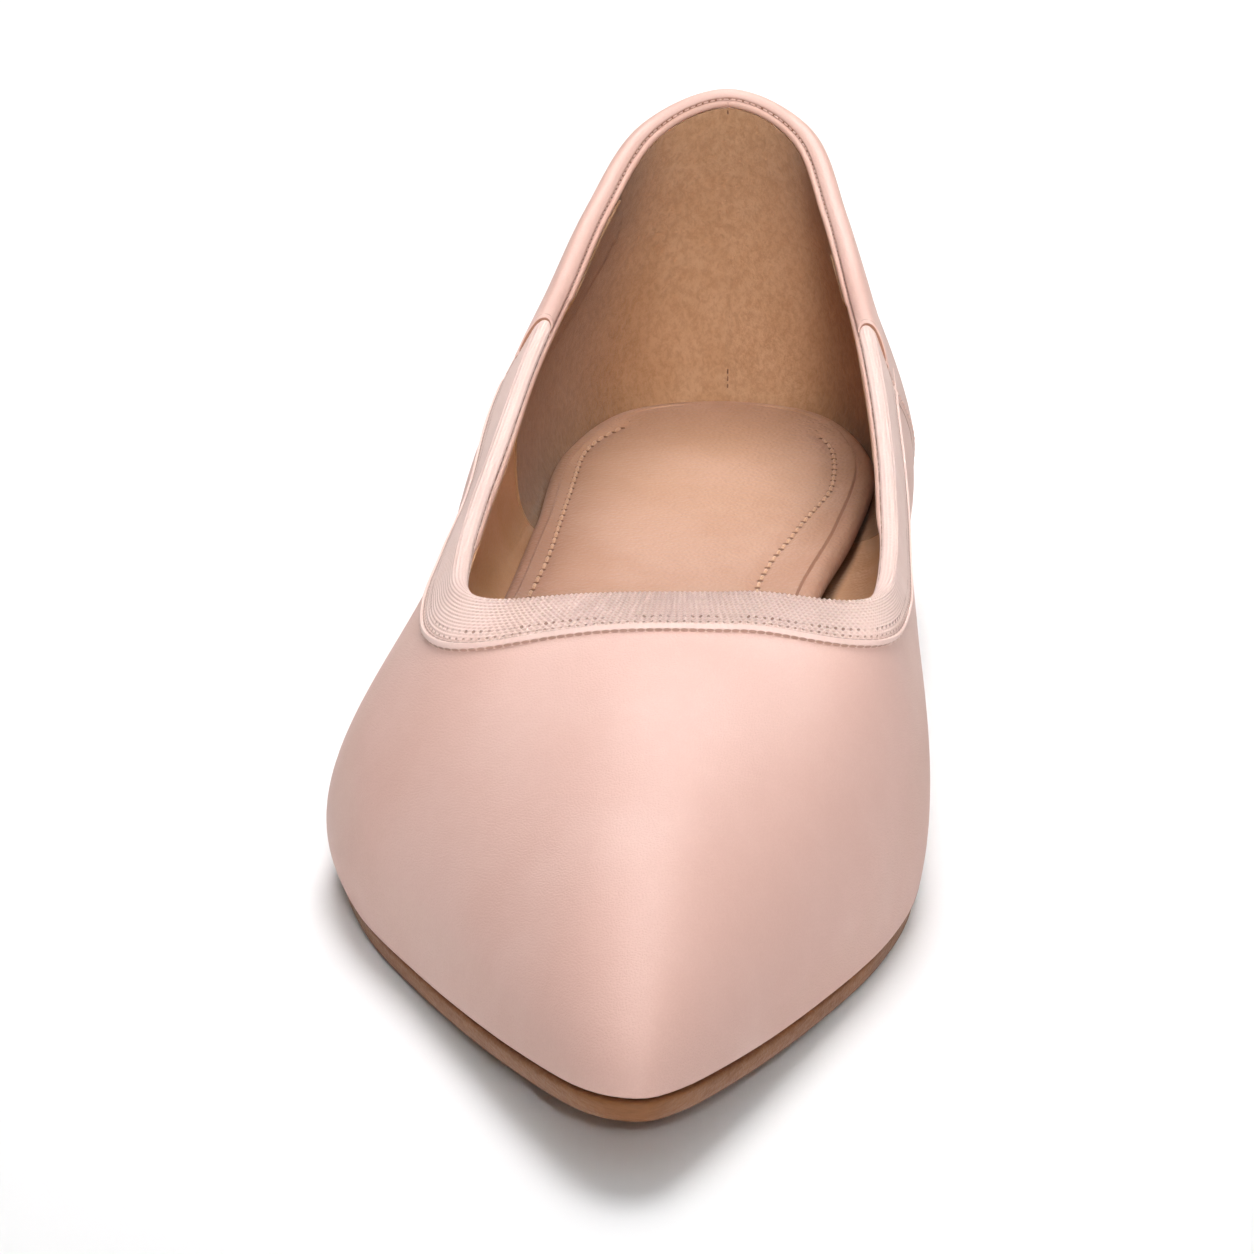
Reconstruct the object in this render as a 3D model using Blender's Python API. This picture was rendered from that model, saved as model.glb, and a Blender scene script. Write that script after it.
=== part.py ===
"""Ballet flat for a right foot: low heel, pointed toe, square elastic throat.

Metres, +Z up. The toe points to -Y, the heel to +Y, and +X is the inner (medial) side.
The shoe stands on the plane z = 0, and X = 0, Y = 0 is the middle of its box.
"""
from math import cos, pi, radians, sin, sqrt

import bmesh
import bpy
from mathutils import Vector

# Main sizes of the last and the sole
LENGTH = 0.256
BALL_WIDTH = 0.085
BACK_HEIGHT = 0.0555
THROAT_HEIGHT = 0.0445
HEEL_HEIGHT = 0.0075
TOE_SPRING = 0.0090
SOLE_THICKNESS = 0.0030
SOLE_LEDGE = 0.0003
SOLE_TUCK = 0.0011
SOLE_ROUND = 0.0010

# Upper, its trims and the sock
WALL = 0.0015
QUARTER_STEP = 0.0005
LASTING_MARGIN = 0.0100
RECESS = 0.0007
BAND_WIDTH = 0.0082
COLLAR_WIDTH = 0.0045
TRIM_PROUD = 0.0005
ROLL_PROUD = 0.0008
TRIM_OVER = 0.0014
TRIM_INSIDE = 0.0006
TRIM_INNER_LEG = 0.0030
INSOLE_THICKNESS = 0.0036
INSOLE_ROUND = 0.0013

# Heel block
HEEL_LENGTH = 0.058
HEEL_INSET = 0.0012
HEEL_TAPER = 0.0010
BREAST_CURVE = 0.0040

# Gap between two pieces that touch
GAP = 0.0003

# Rows of the sole's side profile: along, share of heel height, share of toe spring
PROFILE = [
    dict(along=0.00, heel=1.00, spring=0.00),
    dict(along=0.24, heel=1.00, spring=0.00),
    dict(along=0.32, heel=0.86, spring=0.00),
    dict(along=0.40, heel=0.50, spring=0.00),
    dict(along=0.48, heel=0.14, spring=0.00),
    dict(along=0.55, heel=0.00, spring=0.00),
    dict(along=0.67, heel=0.00, spring=0.00),
    dict(along=0.78, heel=0.00, spring=0.13),
    dict(along=0.89, heel=0.00, spring=0.47),
    dict(along=1.00, heel=0.00, spring=1.00),
]

# One row for each section round the shoe, from the heel along the outer side to the
# toe and back along the inner side. across and top_x are shares of BALL_WIDTH, along and
# top_y shares of LENGTH from the heel. back and throat are the topline's height in
# shares of BACK_HEIGHT and THROAT_HEIGHT. bulge and rise place the wall's lower
# handle, reach, flare and drop its upper one, and inset is the sock's distance from
# the wall's inner face, in shares of BALL_WIDTH. tuck is how far the sole's edge lies
# in under the wall, in shares of SOLE_TUCK.
SECTIONS = [
    dict(name="heel_back", across=0.000, along=0.012,
         top_x=0.000, top_y=0.020, back=1.000, throat=0.000,
         bulge=0.046, rise=0.33, reach=0.0, flare=0.040, drop=0.33, inset=0.020, tuck=0.30),
    dict(name="heel_turn_outer", across=-0.215, along=0.037,
         top_x=-0.154, top_y=0.040, back=0.925, throat=0.000,
         bulge=0.040, rise=0.33, reach=0.1, flare=0.035, drop=0.33, inset=0.020, tuck=0.30),
    dict(name="heel_side_outer", across=-0.325, along=0.120,
         top_x=-0.234, top_y=0.115, back=0.815, throat=0.000,
         bulge=0.040, rise=0.33, reach=0.2, flare=0.045, drop=0.33, inset=0.020, tuck=0.60),
    dict(name="quarter_outer", across=-0.350, along=0.232,
         top_x=-0.284, top_y=0.215, back=0.730, throat=0.000,
         bulge=.054, rise=0.33, reach=0.2, flare=.080, drop=0.33, inset=0.020, tuck=1.00),
    dict(name="waist_outer", across=-0.388, along=0.342,
         top_x=-0.322, top_y=0.320, back=0.510, throat=0.250,
         bulge=.068, rise=0.33, reach=0.2, flare=.093, drop=0.33, inset=0.020, tuck=1.00),
    dict(name="waist_front_outer", across=-0.450, along=0.435,
         top_x=-0.348, top_y=0.415, back=0.300, throat=0.520,
         bulge=0.040, rise=0.33, reach=0.20, flare=0.050, drop=0.32, inset=0.020, tuck=1.00),
    dict(name="ball_back_outer", across=-0.520, along=0.530,
         top_x=-0.366, top_y=0.500, back=0.120, throat=0.785,
         bulge=0.035, rise=0.35, reach=0.30, flare=0.030, drop=0.30, inset=0.020, tuck=1.00),
    dict(name="ball_outer", across=-0.566, along=0.618,
         top_x=-0.376, top_y=0.572, back=0.000, throat=0.925,
         bulge=.078, rise=.31, reach=0.42, flare=.006, drop=0.28, inset=0.020, tuck=1.00),
    dict(name="ball_front_outer", across=-0.513, along=0.700,
         top_x=-0.364, top_y=0.622, back=0.000, throat=0.925,
         bulge=.072, rise=.33, reach=0.46, flare=0.000, drop=0.25, inset=0.025, tuck=0.85),
    dict(name="toe_side_outer", across=-0.388, along=0.793,
         top_x=-0.300, top_y=0.646, back=0.000, throat=0.940,
         bulge=0.022, rise=0.34, reach=0.46, flare=0.000, drop=0.22, inset=0.032, tuck=0.50),
    dict(name="toe_shoulder_outer", across=-0.208, along=0.913,
         top_x=-0.160, top_y=0.652, back=0.000, throat=0.980,
         bulge=0.018, rise=0.34, reach=0.43, flare=0.000, drop=0.22, inset=0.044, tuck=0.15),
    dict(name="toe_turn_outer", across=-0.092, along=0.981,
         top_x=-0.080, top_y=0.654, back=0.000, throat=0.995,
         bulge=0.018, rise=0.34, reach=0.435, flare=0.000, drop=0.24, inset=0.056, tuck=0.00),
    dict(name="toe_tip", across=0.000, along=1.000,
         top_x=0.000, top_y=0.654, back=0.000, throat=1.000,
         bulge=0.020, rise=0.34, reach=0.44, flare=0.000, drop=0.25, inset=0.065, tuck=0.00),
    dict(name="toe_turn_inner", across=0.064, along=0.981,
         top_x=0.075, top_y=0.652, back=0.000, throat=0.998,
         bulge=0.018, rise=0.34, reach=0.435, flare=0.000, drop=0.24, inset=0.056, tuck=0.00),
    dict(name="toe_shoulder_inner", across=0.137, along=0.930,
         top_x=0.150, top_y=0.647, back=0.000, throat=0.990,
         bulge=0.018, rise=0.34, reach=0.43, flare=0.000, drop=0.22, inset=0.047, tuck=0.15),
    dict(name="toe_side_inner", across=0.262, along=0.825,
         top_x=0.290, top_y=0.642, back=0.000, throat=0.955,
         bulge=0.010, rise=0.34, reach=0.46, flare=0.000, drop=0.18, inset=0.035, tuck=0.50),
    dict(name="ball_front_inner", across=0.368, along=0.725,
         top_x=0.348, top_y=0.615, back=0.000, throat=0.935,
         bulge=.022, rise=0.36, reach=0.5, flare=0.010, drop=0.20, inset=0.032, tuck=0.85),
    dict(name="ball_inner", across=0.412, along=0.640,
         top_x=0.359, top_y=0.560, back=0.000, throat=0.930,
         bulge=0.040, rise=0.36, reach=0.4, flare=.014, drop=0.22, inset=0.041, tuck=1.00),
    dict(name="ball_back_inner", across=0.385, along=0.545,
         top_x=0.352, top_y=0.495, back=0.140, throat=0.775,
         bulge=0.045, rise=0.35, reach=0.25, flare=0.030, drop=0.26, inset=0.076, tuck=1.00),
    dict(name="waist_front_inner", across=0.345, along=0.445,
         top_x=0.338, top_y=0.412, back=0.310, throat=0.520,
         bulge=.052, rise=0.33, reach=0.2, flare=0.045, drop=0.28, inset=0.118, tuck=1.00),
    dict(name="waist_inner", across=0.325, along=0.345,
         top_x=0.311, top_y=0.320, back=0.515, throat=0.250,
         bulge=.060, rise=0.33, reach=0.2, flare=.056, drop=0.33, inset=0.112, tuck=1.00),
    dict(name="quarter_inner", across=0.328, along=0.235,
         top_x=0.271, top_y=0.215, back=0.730, throat=0.000,
         bulge=.076, rise=0.33, reach=0.2, flare=.068, drop=0.33, inset=0.053, tuck=1.00),
    dict(name="heel_side_inner", across=0.318, along=0.122,
         top_x=.217, top_y=0.115, back=0.815, throat=0.000,
         bulge=.032, rise=0.33, reach=0.2, flare=.014, drop=0.33, inset=0.020, tuck=0.60),
    dict(name="heel_turn_inner", across=0.210, along=0.037,
         top_x=0.148, top_y=0.040, back=0.925, throat=0.000,
         bulge=0.040, rise=0.33, reach=0.1, flare=0.030, drop=0.33, inset=0.020, tuck=0.30),
]
STATIONS = len(SECTIONS)

# Places round the shoe, counted in sections
SEAM_OUTER = 3.40
SEAM_INNER = STATIONS - 3.40

# Spine that the turned-in margin points to, as shares of LENGTH from the heel
SPINE_HEEL = 0.12
SPINE_TOE = 0.88

# Fineness of the meshes
COLUMNS_PER_SECTION = 4
WALL_ROWS = 10
INNER_ROWS = 8
INNER_FOOT = 0.06
TRIM_SHARES = (1.0, 0.7, 0.35, 0.0)
PLATE_ROWS = 44
HEEL_ROWS = 16
HEEL_SIDES = (-1.0, -0.5, 0.0, 0.5, 1.0)
OUTLINE_STEPS = 16
CURVE_STEPS = 60
END_TRIM = 0.0004
SEAM_STEP = 0.006
TANGENT_STEP = 0.02
SHARP_ANGLE = radians(40)


def hermite(before, start, end, after, share):
    """Smooth value between start and end, from four values at even steps."""
    slope_in = (end - before) / 2
    slope_out = (after - start) / 2
    s2 = share * share
    s3 = s2 * share
    return ((2 * s3 - 3 * s2 + 1) * start + (s3 - 2 * s2 + share) * slope_in
            + (3 * s2 - 2 * s3) * end + (s3 - s2) * slope_out)


def section_value(name, place):
    """A column of SECTIONS, smoothed round the shoe."""
    first = int(place // 1)
    rows = [SECTIONS[(first + step) % STATIONS][name] for step in (-1, 0, 1, 2)]
    return hermite(*rows, place - first)


def profile_value(name, along):
    """A column of PROFILE at a share of the length, with no overshoot between equal rows."""
    along = min(max(along, 0.0), 1.0)
    index = max(i for i, row in enumerate(PROFILE[:-1]) if row["along"] <= along)
    a, b = PROFILE[index], PROFILE[index + 1]
    span = b["along"] - a["along"]
    share = (along - a["along"]) / span

    def slope(i):
        if i in (0, len(PROFILE) - 1):
            other = 1 if i == 0 else i - 1
            run = PROFILE[other]["along"] - PROFILE[i]["along"]
            return (PROFILE[other][name] - PROFILE[i][name]) / run
        run = PROFILE[i + 1]["along"] - PROFILE[i - 1]["along"]
        left = PROFILE[i][name] - PROFILE[i - 1][name]
        right = PROFILE[i + 1][name] - PROFILE[i][name]
        return (left + right) / run if left * right > 0 else 0.0

    s2 = share * share
    s3 = s2 * share
    return ((2 * s3 - 3 * s2 + 1) * a[name] + (s3 - 2 * s2 + share) * span * slope(index)
            + (3 * s2 - 2 * s3) * b[name] + (s3 - s2) * span * slope(index + 1))


def along_of(y):
    """Share of the length, from the heel."""
    return 0.5 - y / LENGTH


def y_of(along):
    """Place of a share of the length."""
    return (0.5 - along) * LENGTH


def sole_bottom(y):
    """Height of the sole's underside above the floor."""
    along = along_of(y)
    return HEEL_HEIGHT * profile_value("heel", along) + TOE_SPRING * profile_value("spring", along)


def seat(y):
    """Height of the upper's underside: the sole's top and the gap over it."""
    return sole_bottom(y) + SOLE_THICKNESS + GAP


def raw_feather(place):
    """Point of the feather line in plan, measured across from the line heel to toe."""
    return Vector((section_value("across", place) * BALL_WIDTH, y_of(section_value("along", place)), 0.0))


# The middle of the outline's width lies on X = 0
OUTLINE_X = [raw_feather(i / 8).x for i in range(8 * STATIONS)]
MIDDLE_X = (min(OUTLINE_X) + max(OUTLINE_X)) / 2


def feather(place):
    """Point of the feather line, where the upper meets the sole."""
    point = raw_feather(place)
    point.x -= MIDDLE_X
    point.z = seat(point.y)
    return point


def outward(place):
    """Flat unit vector from the spine, the line from heel to toe, to the feather line."""
    point = feather(place)
    y = min(max(point.y, y_of(SPINE_TOE)), y_of(SPINE_HEEL))
    away = Vector((point.x + MIDDLE_X, point.y - y, 0.0))
    return away.normalized()


def topline(place):
    """Point of the upper's top edge on its outer face."""
    x = section_value("top_x", place) * BALL_WIDTH - MIDDLE_X
    y = y_of(section_value("top_y", place))
    height = section_value("back", place) * BACK_HEIGHT + section_value("throat", place) * THROAT_HEIGHT
    return Vector((x, y, seat(y) + height))


def wall_handles(place):
    """The four handles of the wall's curve from the feather line to the topline."""
    low = feather(place)
    top = topline(place)
    height = top.z - low.z
    out = outward(place)
    flat = Vector((low.x - top.x, low.y - top.y, 0.0))
    lower = low + out * section_value("bulge", place) * BALL_WIDTH
    lower.z += section_value("rise", place) * height
    upper = top + flat * section_value("reach", place) + out * section_value("flare", place) * BALL_WIDTH
    upper.z -= section_value("drop", place) * height
    return low, lower, upper, top


def on_curve(handles, t):
    """Point of a cubic curve with four handles."""
    a, b, c, d = handles
    s = 1 - t
    return a * s ** 3 + b * 3 * s * s * t + c * 3 * s * t * t + d * t ** 3


def wall_point(place, t):
    """Point of the last's surface: t is 0 at the feather line and 1 at the topline."""
    return on_curve(wall_handles(place), t)


def wall_normal(place, t):
    """Unit vector pointing out of the shoe, square to the wall."""
    round_it = wall_point(place + TANGENT_STEP, t) - wall_point(place - TANGENT_STEP, t)
    up_it = wall_point(place, min(t + TANGENT_STEP, 1.0)) - wall_point(place, max(t - TANGENT_STEP, 0.0))
    return round_it.cross(up_it).normalized()


def share_below_top(place, distance):
    """The value of t that lies this far down the wall from the topline."""
    handles = wall_handles(place)
    done = 0.0
    last = handles[3]
    for i in range(1, CURVE_STEPS + 1):
        t = 1 - i / CURVE_STEPS
        point = on_curve(handles, t)
        length = (point - last).length
        if done + length >= distance:
            return t + (done + length - distance) / length / CURVE_STEPS
        done += length
        last = point
    return 0.0


def is_quarter(place):
    """True behind the two side seams."""
    place %= STATIONS
    return place < SEAM_OUTER or place > SEAM_INNER


def columns():
    """Places of the upper's columns, with a close pair at each side seam."""
    even = [i / COLUMNS_PER_SECTION for i in range(STATIONS * COLUMNS_PER_SECTION)]
    seams = (SEAM_OUTER, SEAM_INNER)
    places = [p for p in even if all(abs(p - seam) > 0.3 / COLUMNS_PER_SECTION for seam in seams)]
    for seam in seams:
        places += [seam - SEAM_STEP, seam + SEAM_STEP]
    return sorted(places)


def trim_width(place):
    """How far the strip on the topline reaches down the wall's outer face."""
    return COLLAR_WIDTH if is_quarter(place) else BAND_WIDTH


def upper_section(place):
    """One section of the hollow upper: outer face up, top edge, inner face down, margin."""
    proud = QUARTER_STEP if is_quarter(place) else 0.0
    edge = share_below_top(place, trim_width(place) + GAP)
    loop = []
    for i in range(WALL_ROWS + 1):
        t = edge * i / WALL_ROWS
        lift = proud * min(1.0, i / 2)
        loop.append(wall_point(place, t) + wall_normal(place, t) * lift)
    for t in (edge, (1 + edge) / 2, 1.0):
        loop.append(wall_point(place, t) - wall_normal(place, t) * RECESS)
    for i in range(INNER_ROWS):
        t = 1 - i / INNER_ROWS * (1 - INNER_FOOT)
        loop.append(wall_point(place, t) - wall_normal(place, t) * WALL)
    low = feather(place)
    out = outward(place)
    for inset, height in ((WALL, WALL), (LASTING_MARGIN, WALL), (LASTING_MARGIN, 0.0)):
        point = low - out * inset
        point.z = seat(point.y) + height
        loop.append(point)
    return loop


def loft(name, sections, closed):
    """Closed body through section loops that hold the same number of points.

    A closed run joins the last section to the first. Otherwise both ends are capped,
    each by a strip of faces between the two halves of its loop.
    """
    mesh = bpy.data.meshes.new(name)
    bm = bmesh.new()
    rings = [[bm.verts.new(point) for point in section] for section in sections]
    count = len(rings[0])
    pairs = list(zip(rings, rings[1:]))
    if closed:
        pairs.append((rings[-1], rings[0]))
    for one, two in pairs:
        for i in range(count):
            j = (i + 1) % count
            bm.faces.new((one[i], one[j], two[j], two[i]))
    if not closed:
        for ring in (rings[0], rings[-1]):
            for i in range(count // 2 - 1):
                bm.faces.new((ring[i], ring[i + 1], ring[count - 2 - i], ring[count - 1 - i]))
    bmesh.ops.recalc_face_normals(bm, faces=bm.faces)
    bm.to_mesh(mesh)
    bm.free()
    mesh.shade_smooth()
    mesh.set_sharp_from_angle(angle=SHARP_ANGLE)
    piece = bpy.data.objects.new(name, mesh)
    bpy.context.scene.collection.objects.link(piece)
    return piece


def make_upper():
    """Hollow lasted shell, open at the topline and underneath."""
    return loft("upper", [upper_section(place) for place in columns()], closed=True)


def trim_section(place, width, proud, swell):
    """Section of a strip that hugs the topline in the upper's recess, outside, over and inside."""
    outside = []
    inside = []
    for share in TRIM_SHARES:
        t = share_below_top(place, width * share)
        point = wall_point(place, t)
        normal = wall_normal(place, t)
        outside.append(point + normal * (proud + swell * sin(pi * (1 - share) * 0.9)))
        inside.append(point - normal * (RECESS - GAP))
    top = wall_point(place, 1.0)
    normal = wall_normal(place, 1.0)
    up = (top - wall_point(place, 1 - TANGENT_STEP)).normalized()
    inner_face = WALL + GAP
    outside.append(top + up * TRIM_OVER - normal * (RECESS + WALL) / 2)
    inside.append(top + up * GAP - normal * (RECESS - GAP))
    outside.append(top + up * TRIM_OVER * 0.4 - normal * (inner_face + TRIM_INSIDE))
    inside.append(top + up * GAP - normal * inner_face)
    t = share_below_top(place, TRIM_INNER_LEG)
    point = wall_point(place, t)
    normal = wall_normal(place, t)
    outside.append(point - normal * (inner_face + TRIM_INSIDE))
    inside.append(point - normal * inner_face)
    return outside + inside[::-1]


def trim_places(start, end):
    """Places of a strip's sections, a gap inside each end."""
    steps = round((end - start) * COLUMNS_PER_SECTION)
    return [start + (end - start) * i / steps for i in range(steps + 1)]


def make_throat_band():
    """Knitted elastic from one side seam round the throat to the other."""
    places = trim_places(SEAM_OUTER + 2 * SEAM_STEP, SEAM_INNER - 2 * SEAM_STEP)
    return loft("throat_band", [trim_section(p, BAND_WIDTH, TRIM_PROUD, 0.0) for p in places], closed=False)


def make_collar_roll():
    """Rolled leather edge from one side seam round the heel to the other."""
    places = trim_places(SEAM_INNER + 2 * SEAM_STEP, STATIONS + SEAM_OUTER - 2 * SEAM_STEP)
    swell = ROLL_PROUD - TRIM_PROUD
    sections = [trim_section(p, COLLAR_WIDTH, TRIM_PROUD, swell) for p in places]
    return loft("collar_roll", sections, closed=False)


def outline(inset_of):
    """Closed plan outline: the feather line moved in by inset_of(place)."""
    points = []
    for i in range(STATIONS * OUTLINE_STEPS):
        place = i / OUTLINE_STEPS
        points.append(feather(place) - outward(place) * inset_of(place))
    return points


def width_at(points, y):
    """Lowest and highest X where an outline crosses a line across the shoe."""
    crossings = []
    for a, b in zip(points, points[1:] + points[:1]):
        if (a.y - y) * (b.y - y) < 0 or a.y == y:
            share = (y - a.y) / (b.y - a.y) if b.y != a.y else 0.0
            crossings.append(a.x + (b.x - a.x) * share)
    return min(crossings), max(crossings)


def plate_rows(points):
    """Y values from toe to heel, close together at the round ends."""
    first_y = min(point.y for point in points) + END_TRIM
    last_y = max(point.y for point in points) - END_TRIM
    rows = []
    for i in range(PLATE_ROWS + 1):
        share = (1 - cos(pi * i / PLATE_ROWS)) / 2
        rows.append(first_y + (last_y - first_y) * share)
    return rows


def plate_section(points, y, bottom, top, low_round, high_round):
    """Section across a plate with its lower and upper edges rounded."""
    left, right = width_at(points, y)
    middle = (left + right) / 2
    half = (right - left) / 2
    low_round = min(low_round, half / 3)
    high_round = min(high_round, half / 3)
    under = [(-half + low_round, bottom), (0.0, bottom), (half - low_round, bottom)]
    over = [(-half + high_round, top), (0.0, top), (half - high_round, top)]
    lower_side = low_round * (1 - sqrt(0.5))
    upper_side = high_round * (1 - sqrt(0.5))
    right_side = [(half - lower_side, bottom + lower_side), (half, bottom + low_round),
                  (half, top - high_round), (half - upper_side, top - upper_side)]
    left_side = [(-x, z) for x, z in right_side]
    lower = [left_side[1], left_side[0]] + under + [right_side[0], right_side[1]]
    upper = [left_side[2], left_side[3]] + over + [right_side[3], right_side[2]]
    loop = lower + upper[::-1]
    return [Vector((middle + x, y, z)) for x, z in loop]


def sole_inset(place):
    """How far the sole's edge lies inside the feather line."""
    return section_value("tuck", place) * SOLE_TUCK - SOLE_LEDGE


def make_outsole():
    """Thin sole with the last's outline, arch and toe spring."""
    points = outline(sole_inset)
    sections = []
    for y in plate_rows(points):
        low = sole_bottom(y)
        sections.append(plate_section(points, y, low, low + SOLE_THICKNESS, SOLE_ROUND, SOLE_ROUND / 2))
    return loft("outsole", sections, closed=False)


def make_insole():
    """Padded sock inside the upper, on its turned-in margin."""
    points = outline(lambda place: WALL + section_value("inset", place) * BALL_WIDTH)
    sections = []
    for y in plate_rows(points):
        low = seat(y) + WALL + GAP
        sections.append(plate_section(points, y, low, low + INSOLE_THICKNESS, INSOLE_ROUND / 2, INSOLE_ROUND))
    return loft("insole", sections, closed=False)


def make_heel():
    """Low block under the heel seat, with a curved breast and a slight taper."""
    points = outline(lambda place: HEEL_INSET + sole_inset(place))
    back = max(point.y for point in points)
    sections = []
    for i in range(HEEL_ROWS + 1):
        share = sin(pi / 2 * i / HEEL_ROWS)
        y = back - HEEL_LENGTH + (HEEL_LENGTH - END_TRIM) * share
        left, right = width_at(points, y)
        middle = (left + right) / 2
        half = (right - left) / 2
        floor_side = []
        seat_side = []
        for side in HEEL_SIDES:
            breast = y + BREAST_CURVE * (1 - side * side) * (1 - share)
            top = sole_bottom(breast) - GAP
            floor_side.append(Vector((middle + side * (half - HEEL_TAPER), breast - HEEL_TAPER * share, 0.0)))
            seat_side.append(Vector((middle + side * half, breast, top)))
        sections.append(floor_side + seat_side[::-1])
    return loft("heel", sections, closed=False)


def paint(piece, name, colour, roughness):
    """Give a piece a material of its own."""
    material = bpy.data.materials.new(name)
    material.use_nodes = True
    shader = material.node_tree.nodes["Principled BSDF"]
    shader.inputs["Base Color"].default_value = (*colour, 1.0)
    shader.inputs["Roughness"].default_value = roughness
    shader.inputs["Metallic"].default_value = 0.0
    piece.data.materials.append(material)


def main():
    for old in list(bpy.data.objects):
        bpy.data.objects.remove(old)
    paint(make_outsole(), "tan_sole", (0.27, 0.13, 0.07), 0.5)
    paint(make_heel(), "tan_heel", (0.24, 0.12, 0.06), 0.5)
    paint(make_upper(), "blush_leather", (0.84, 0.60, 0.52), 0.5)
    paint(make_insole(), "tan_sock_leather", (0.62, 0.40, 0.28), 0.55)
    paint(make_throat_band(), "blush_elastic", (0.82, 0.58, 0.51), 0.8)
    paint(make_collar_roll(), "blush_collar_leather", (0.84, 0.60, 0.52), 0.5)


main()
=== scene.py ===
"""Looks of the right-foot ballet flat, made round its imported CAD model.

Metres. The toe points to -Y, +X is the inner (medial) side and +Z is up. A place is
counted in sections round the shoe, from the heel along the outer side to the toe and
back along the inner side.
"""

from functools import lru_cache
from math import cos, pi, radians, sin, sqrt

import bmesh
import bpy
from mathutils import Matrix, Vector


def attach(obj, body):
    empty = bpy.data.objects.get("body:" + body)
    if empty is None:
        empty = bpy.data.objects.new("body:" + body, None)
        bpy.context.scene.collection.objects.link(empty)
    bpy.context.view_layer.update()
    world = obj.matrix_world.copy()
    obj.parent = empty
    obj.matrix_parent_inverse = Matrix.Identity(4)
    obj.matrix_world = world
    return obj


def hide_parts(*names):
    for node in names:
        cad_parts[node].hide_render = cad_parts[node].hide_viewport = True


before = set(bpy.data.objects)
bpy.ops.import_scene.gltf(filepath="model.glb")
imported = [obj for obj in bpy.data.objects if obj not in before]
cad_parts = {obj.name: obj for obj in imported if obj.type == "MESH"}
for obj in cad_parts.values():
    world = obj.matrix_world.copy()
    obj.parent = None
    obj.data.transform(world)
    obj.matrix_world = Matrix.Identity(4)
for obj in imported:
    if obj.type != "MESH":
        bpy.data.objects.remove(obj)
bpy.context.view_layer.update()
bpy.ops.object.select_all(action="DESELECT")

# Sizes of the last, the sole and the upper, the same as the CAD model's
LENGTH = 0.256
BALL_WIDTH = 0.085
BACK_HEIGHT = 0.0555
THROAT_HEIGHT = 0.0445
HEEL_HEIGHT = 0.0075
TOE_SPRING = 0.0090
SOLE_THICKNESS = 0.0030
SOLE_LEDGE = 0.0003
SOLE_TUCK = 0.0011
WALL = 0.0015
QUARTER_STEP = 0.0005
LASTING_MARGIN = 0.0100
RECESS = 0.0007
BAND_WIDTH = 0.0082
COLLAR_WIDTH = 0.0045
TRIM_PROUD = 0.0005
TRIM_INSIDE = 0.0006
TRIM_INNER_LEG = 0.0030
INSOLE_THICKNESS = 0.0036
GAP = 0.0003

# Sizes that only the looks have
SKIN = 0.0009
QUARTER_TOP = 0.0030
TRIM_LAP = 0.0002
RIB_PITCH = 0.00070
RIB_DEPTH = 0.00011
LOOP_PITCH = RIB_PITCH * 1.6
BEAD_RADIUS = 0.00050
STITCH_PITCH = 0.0020
STITCH_LENGTH = STITCH_PITCH * 0.70
SOCK_PITCH = 0.0023

# Linings: how far they reach in places, and the spacing of their rows
COUNTER_REACH = 2.90
THROAT_LINING_END = 2.80
BACK_SEAM_REACH = 0.08
LINING_PITCH = 0.0018
BACK_SEAM_PITCH = 0.00035

# Rows of the sole's side profile: along, share of heel height, share of toe spring
PROFILE = [
    dict(along=0.00, heel=1.00, spring=0.00),
    dict(along=0.24, heel=1.00, spring=0.00),
    dict(along=0.32, heel=0.86, spring=0.00),
    dict(along=0.40, heel=0.50, spring=0.00),
    dict(along=0.48, heel=0.14, spring=0.00),
    dict(along=0.55, heel=0.00, spring=0.00),
    dict(along=0.67, heel=0.00, spring=0.00),
    dict(along=0.78, heel=0.00, spring=0.13),
    dict(along=0.89, heel=0.00, spring=0.47),
    dict(along=1.00, heel=0.00, spring=1.00),
]

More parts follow.
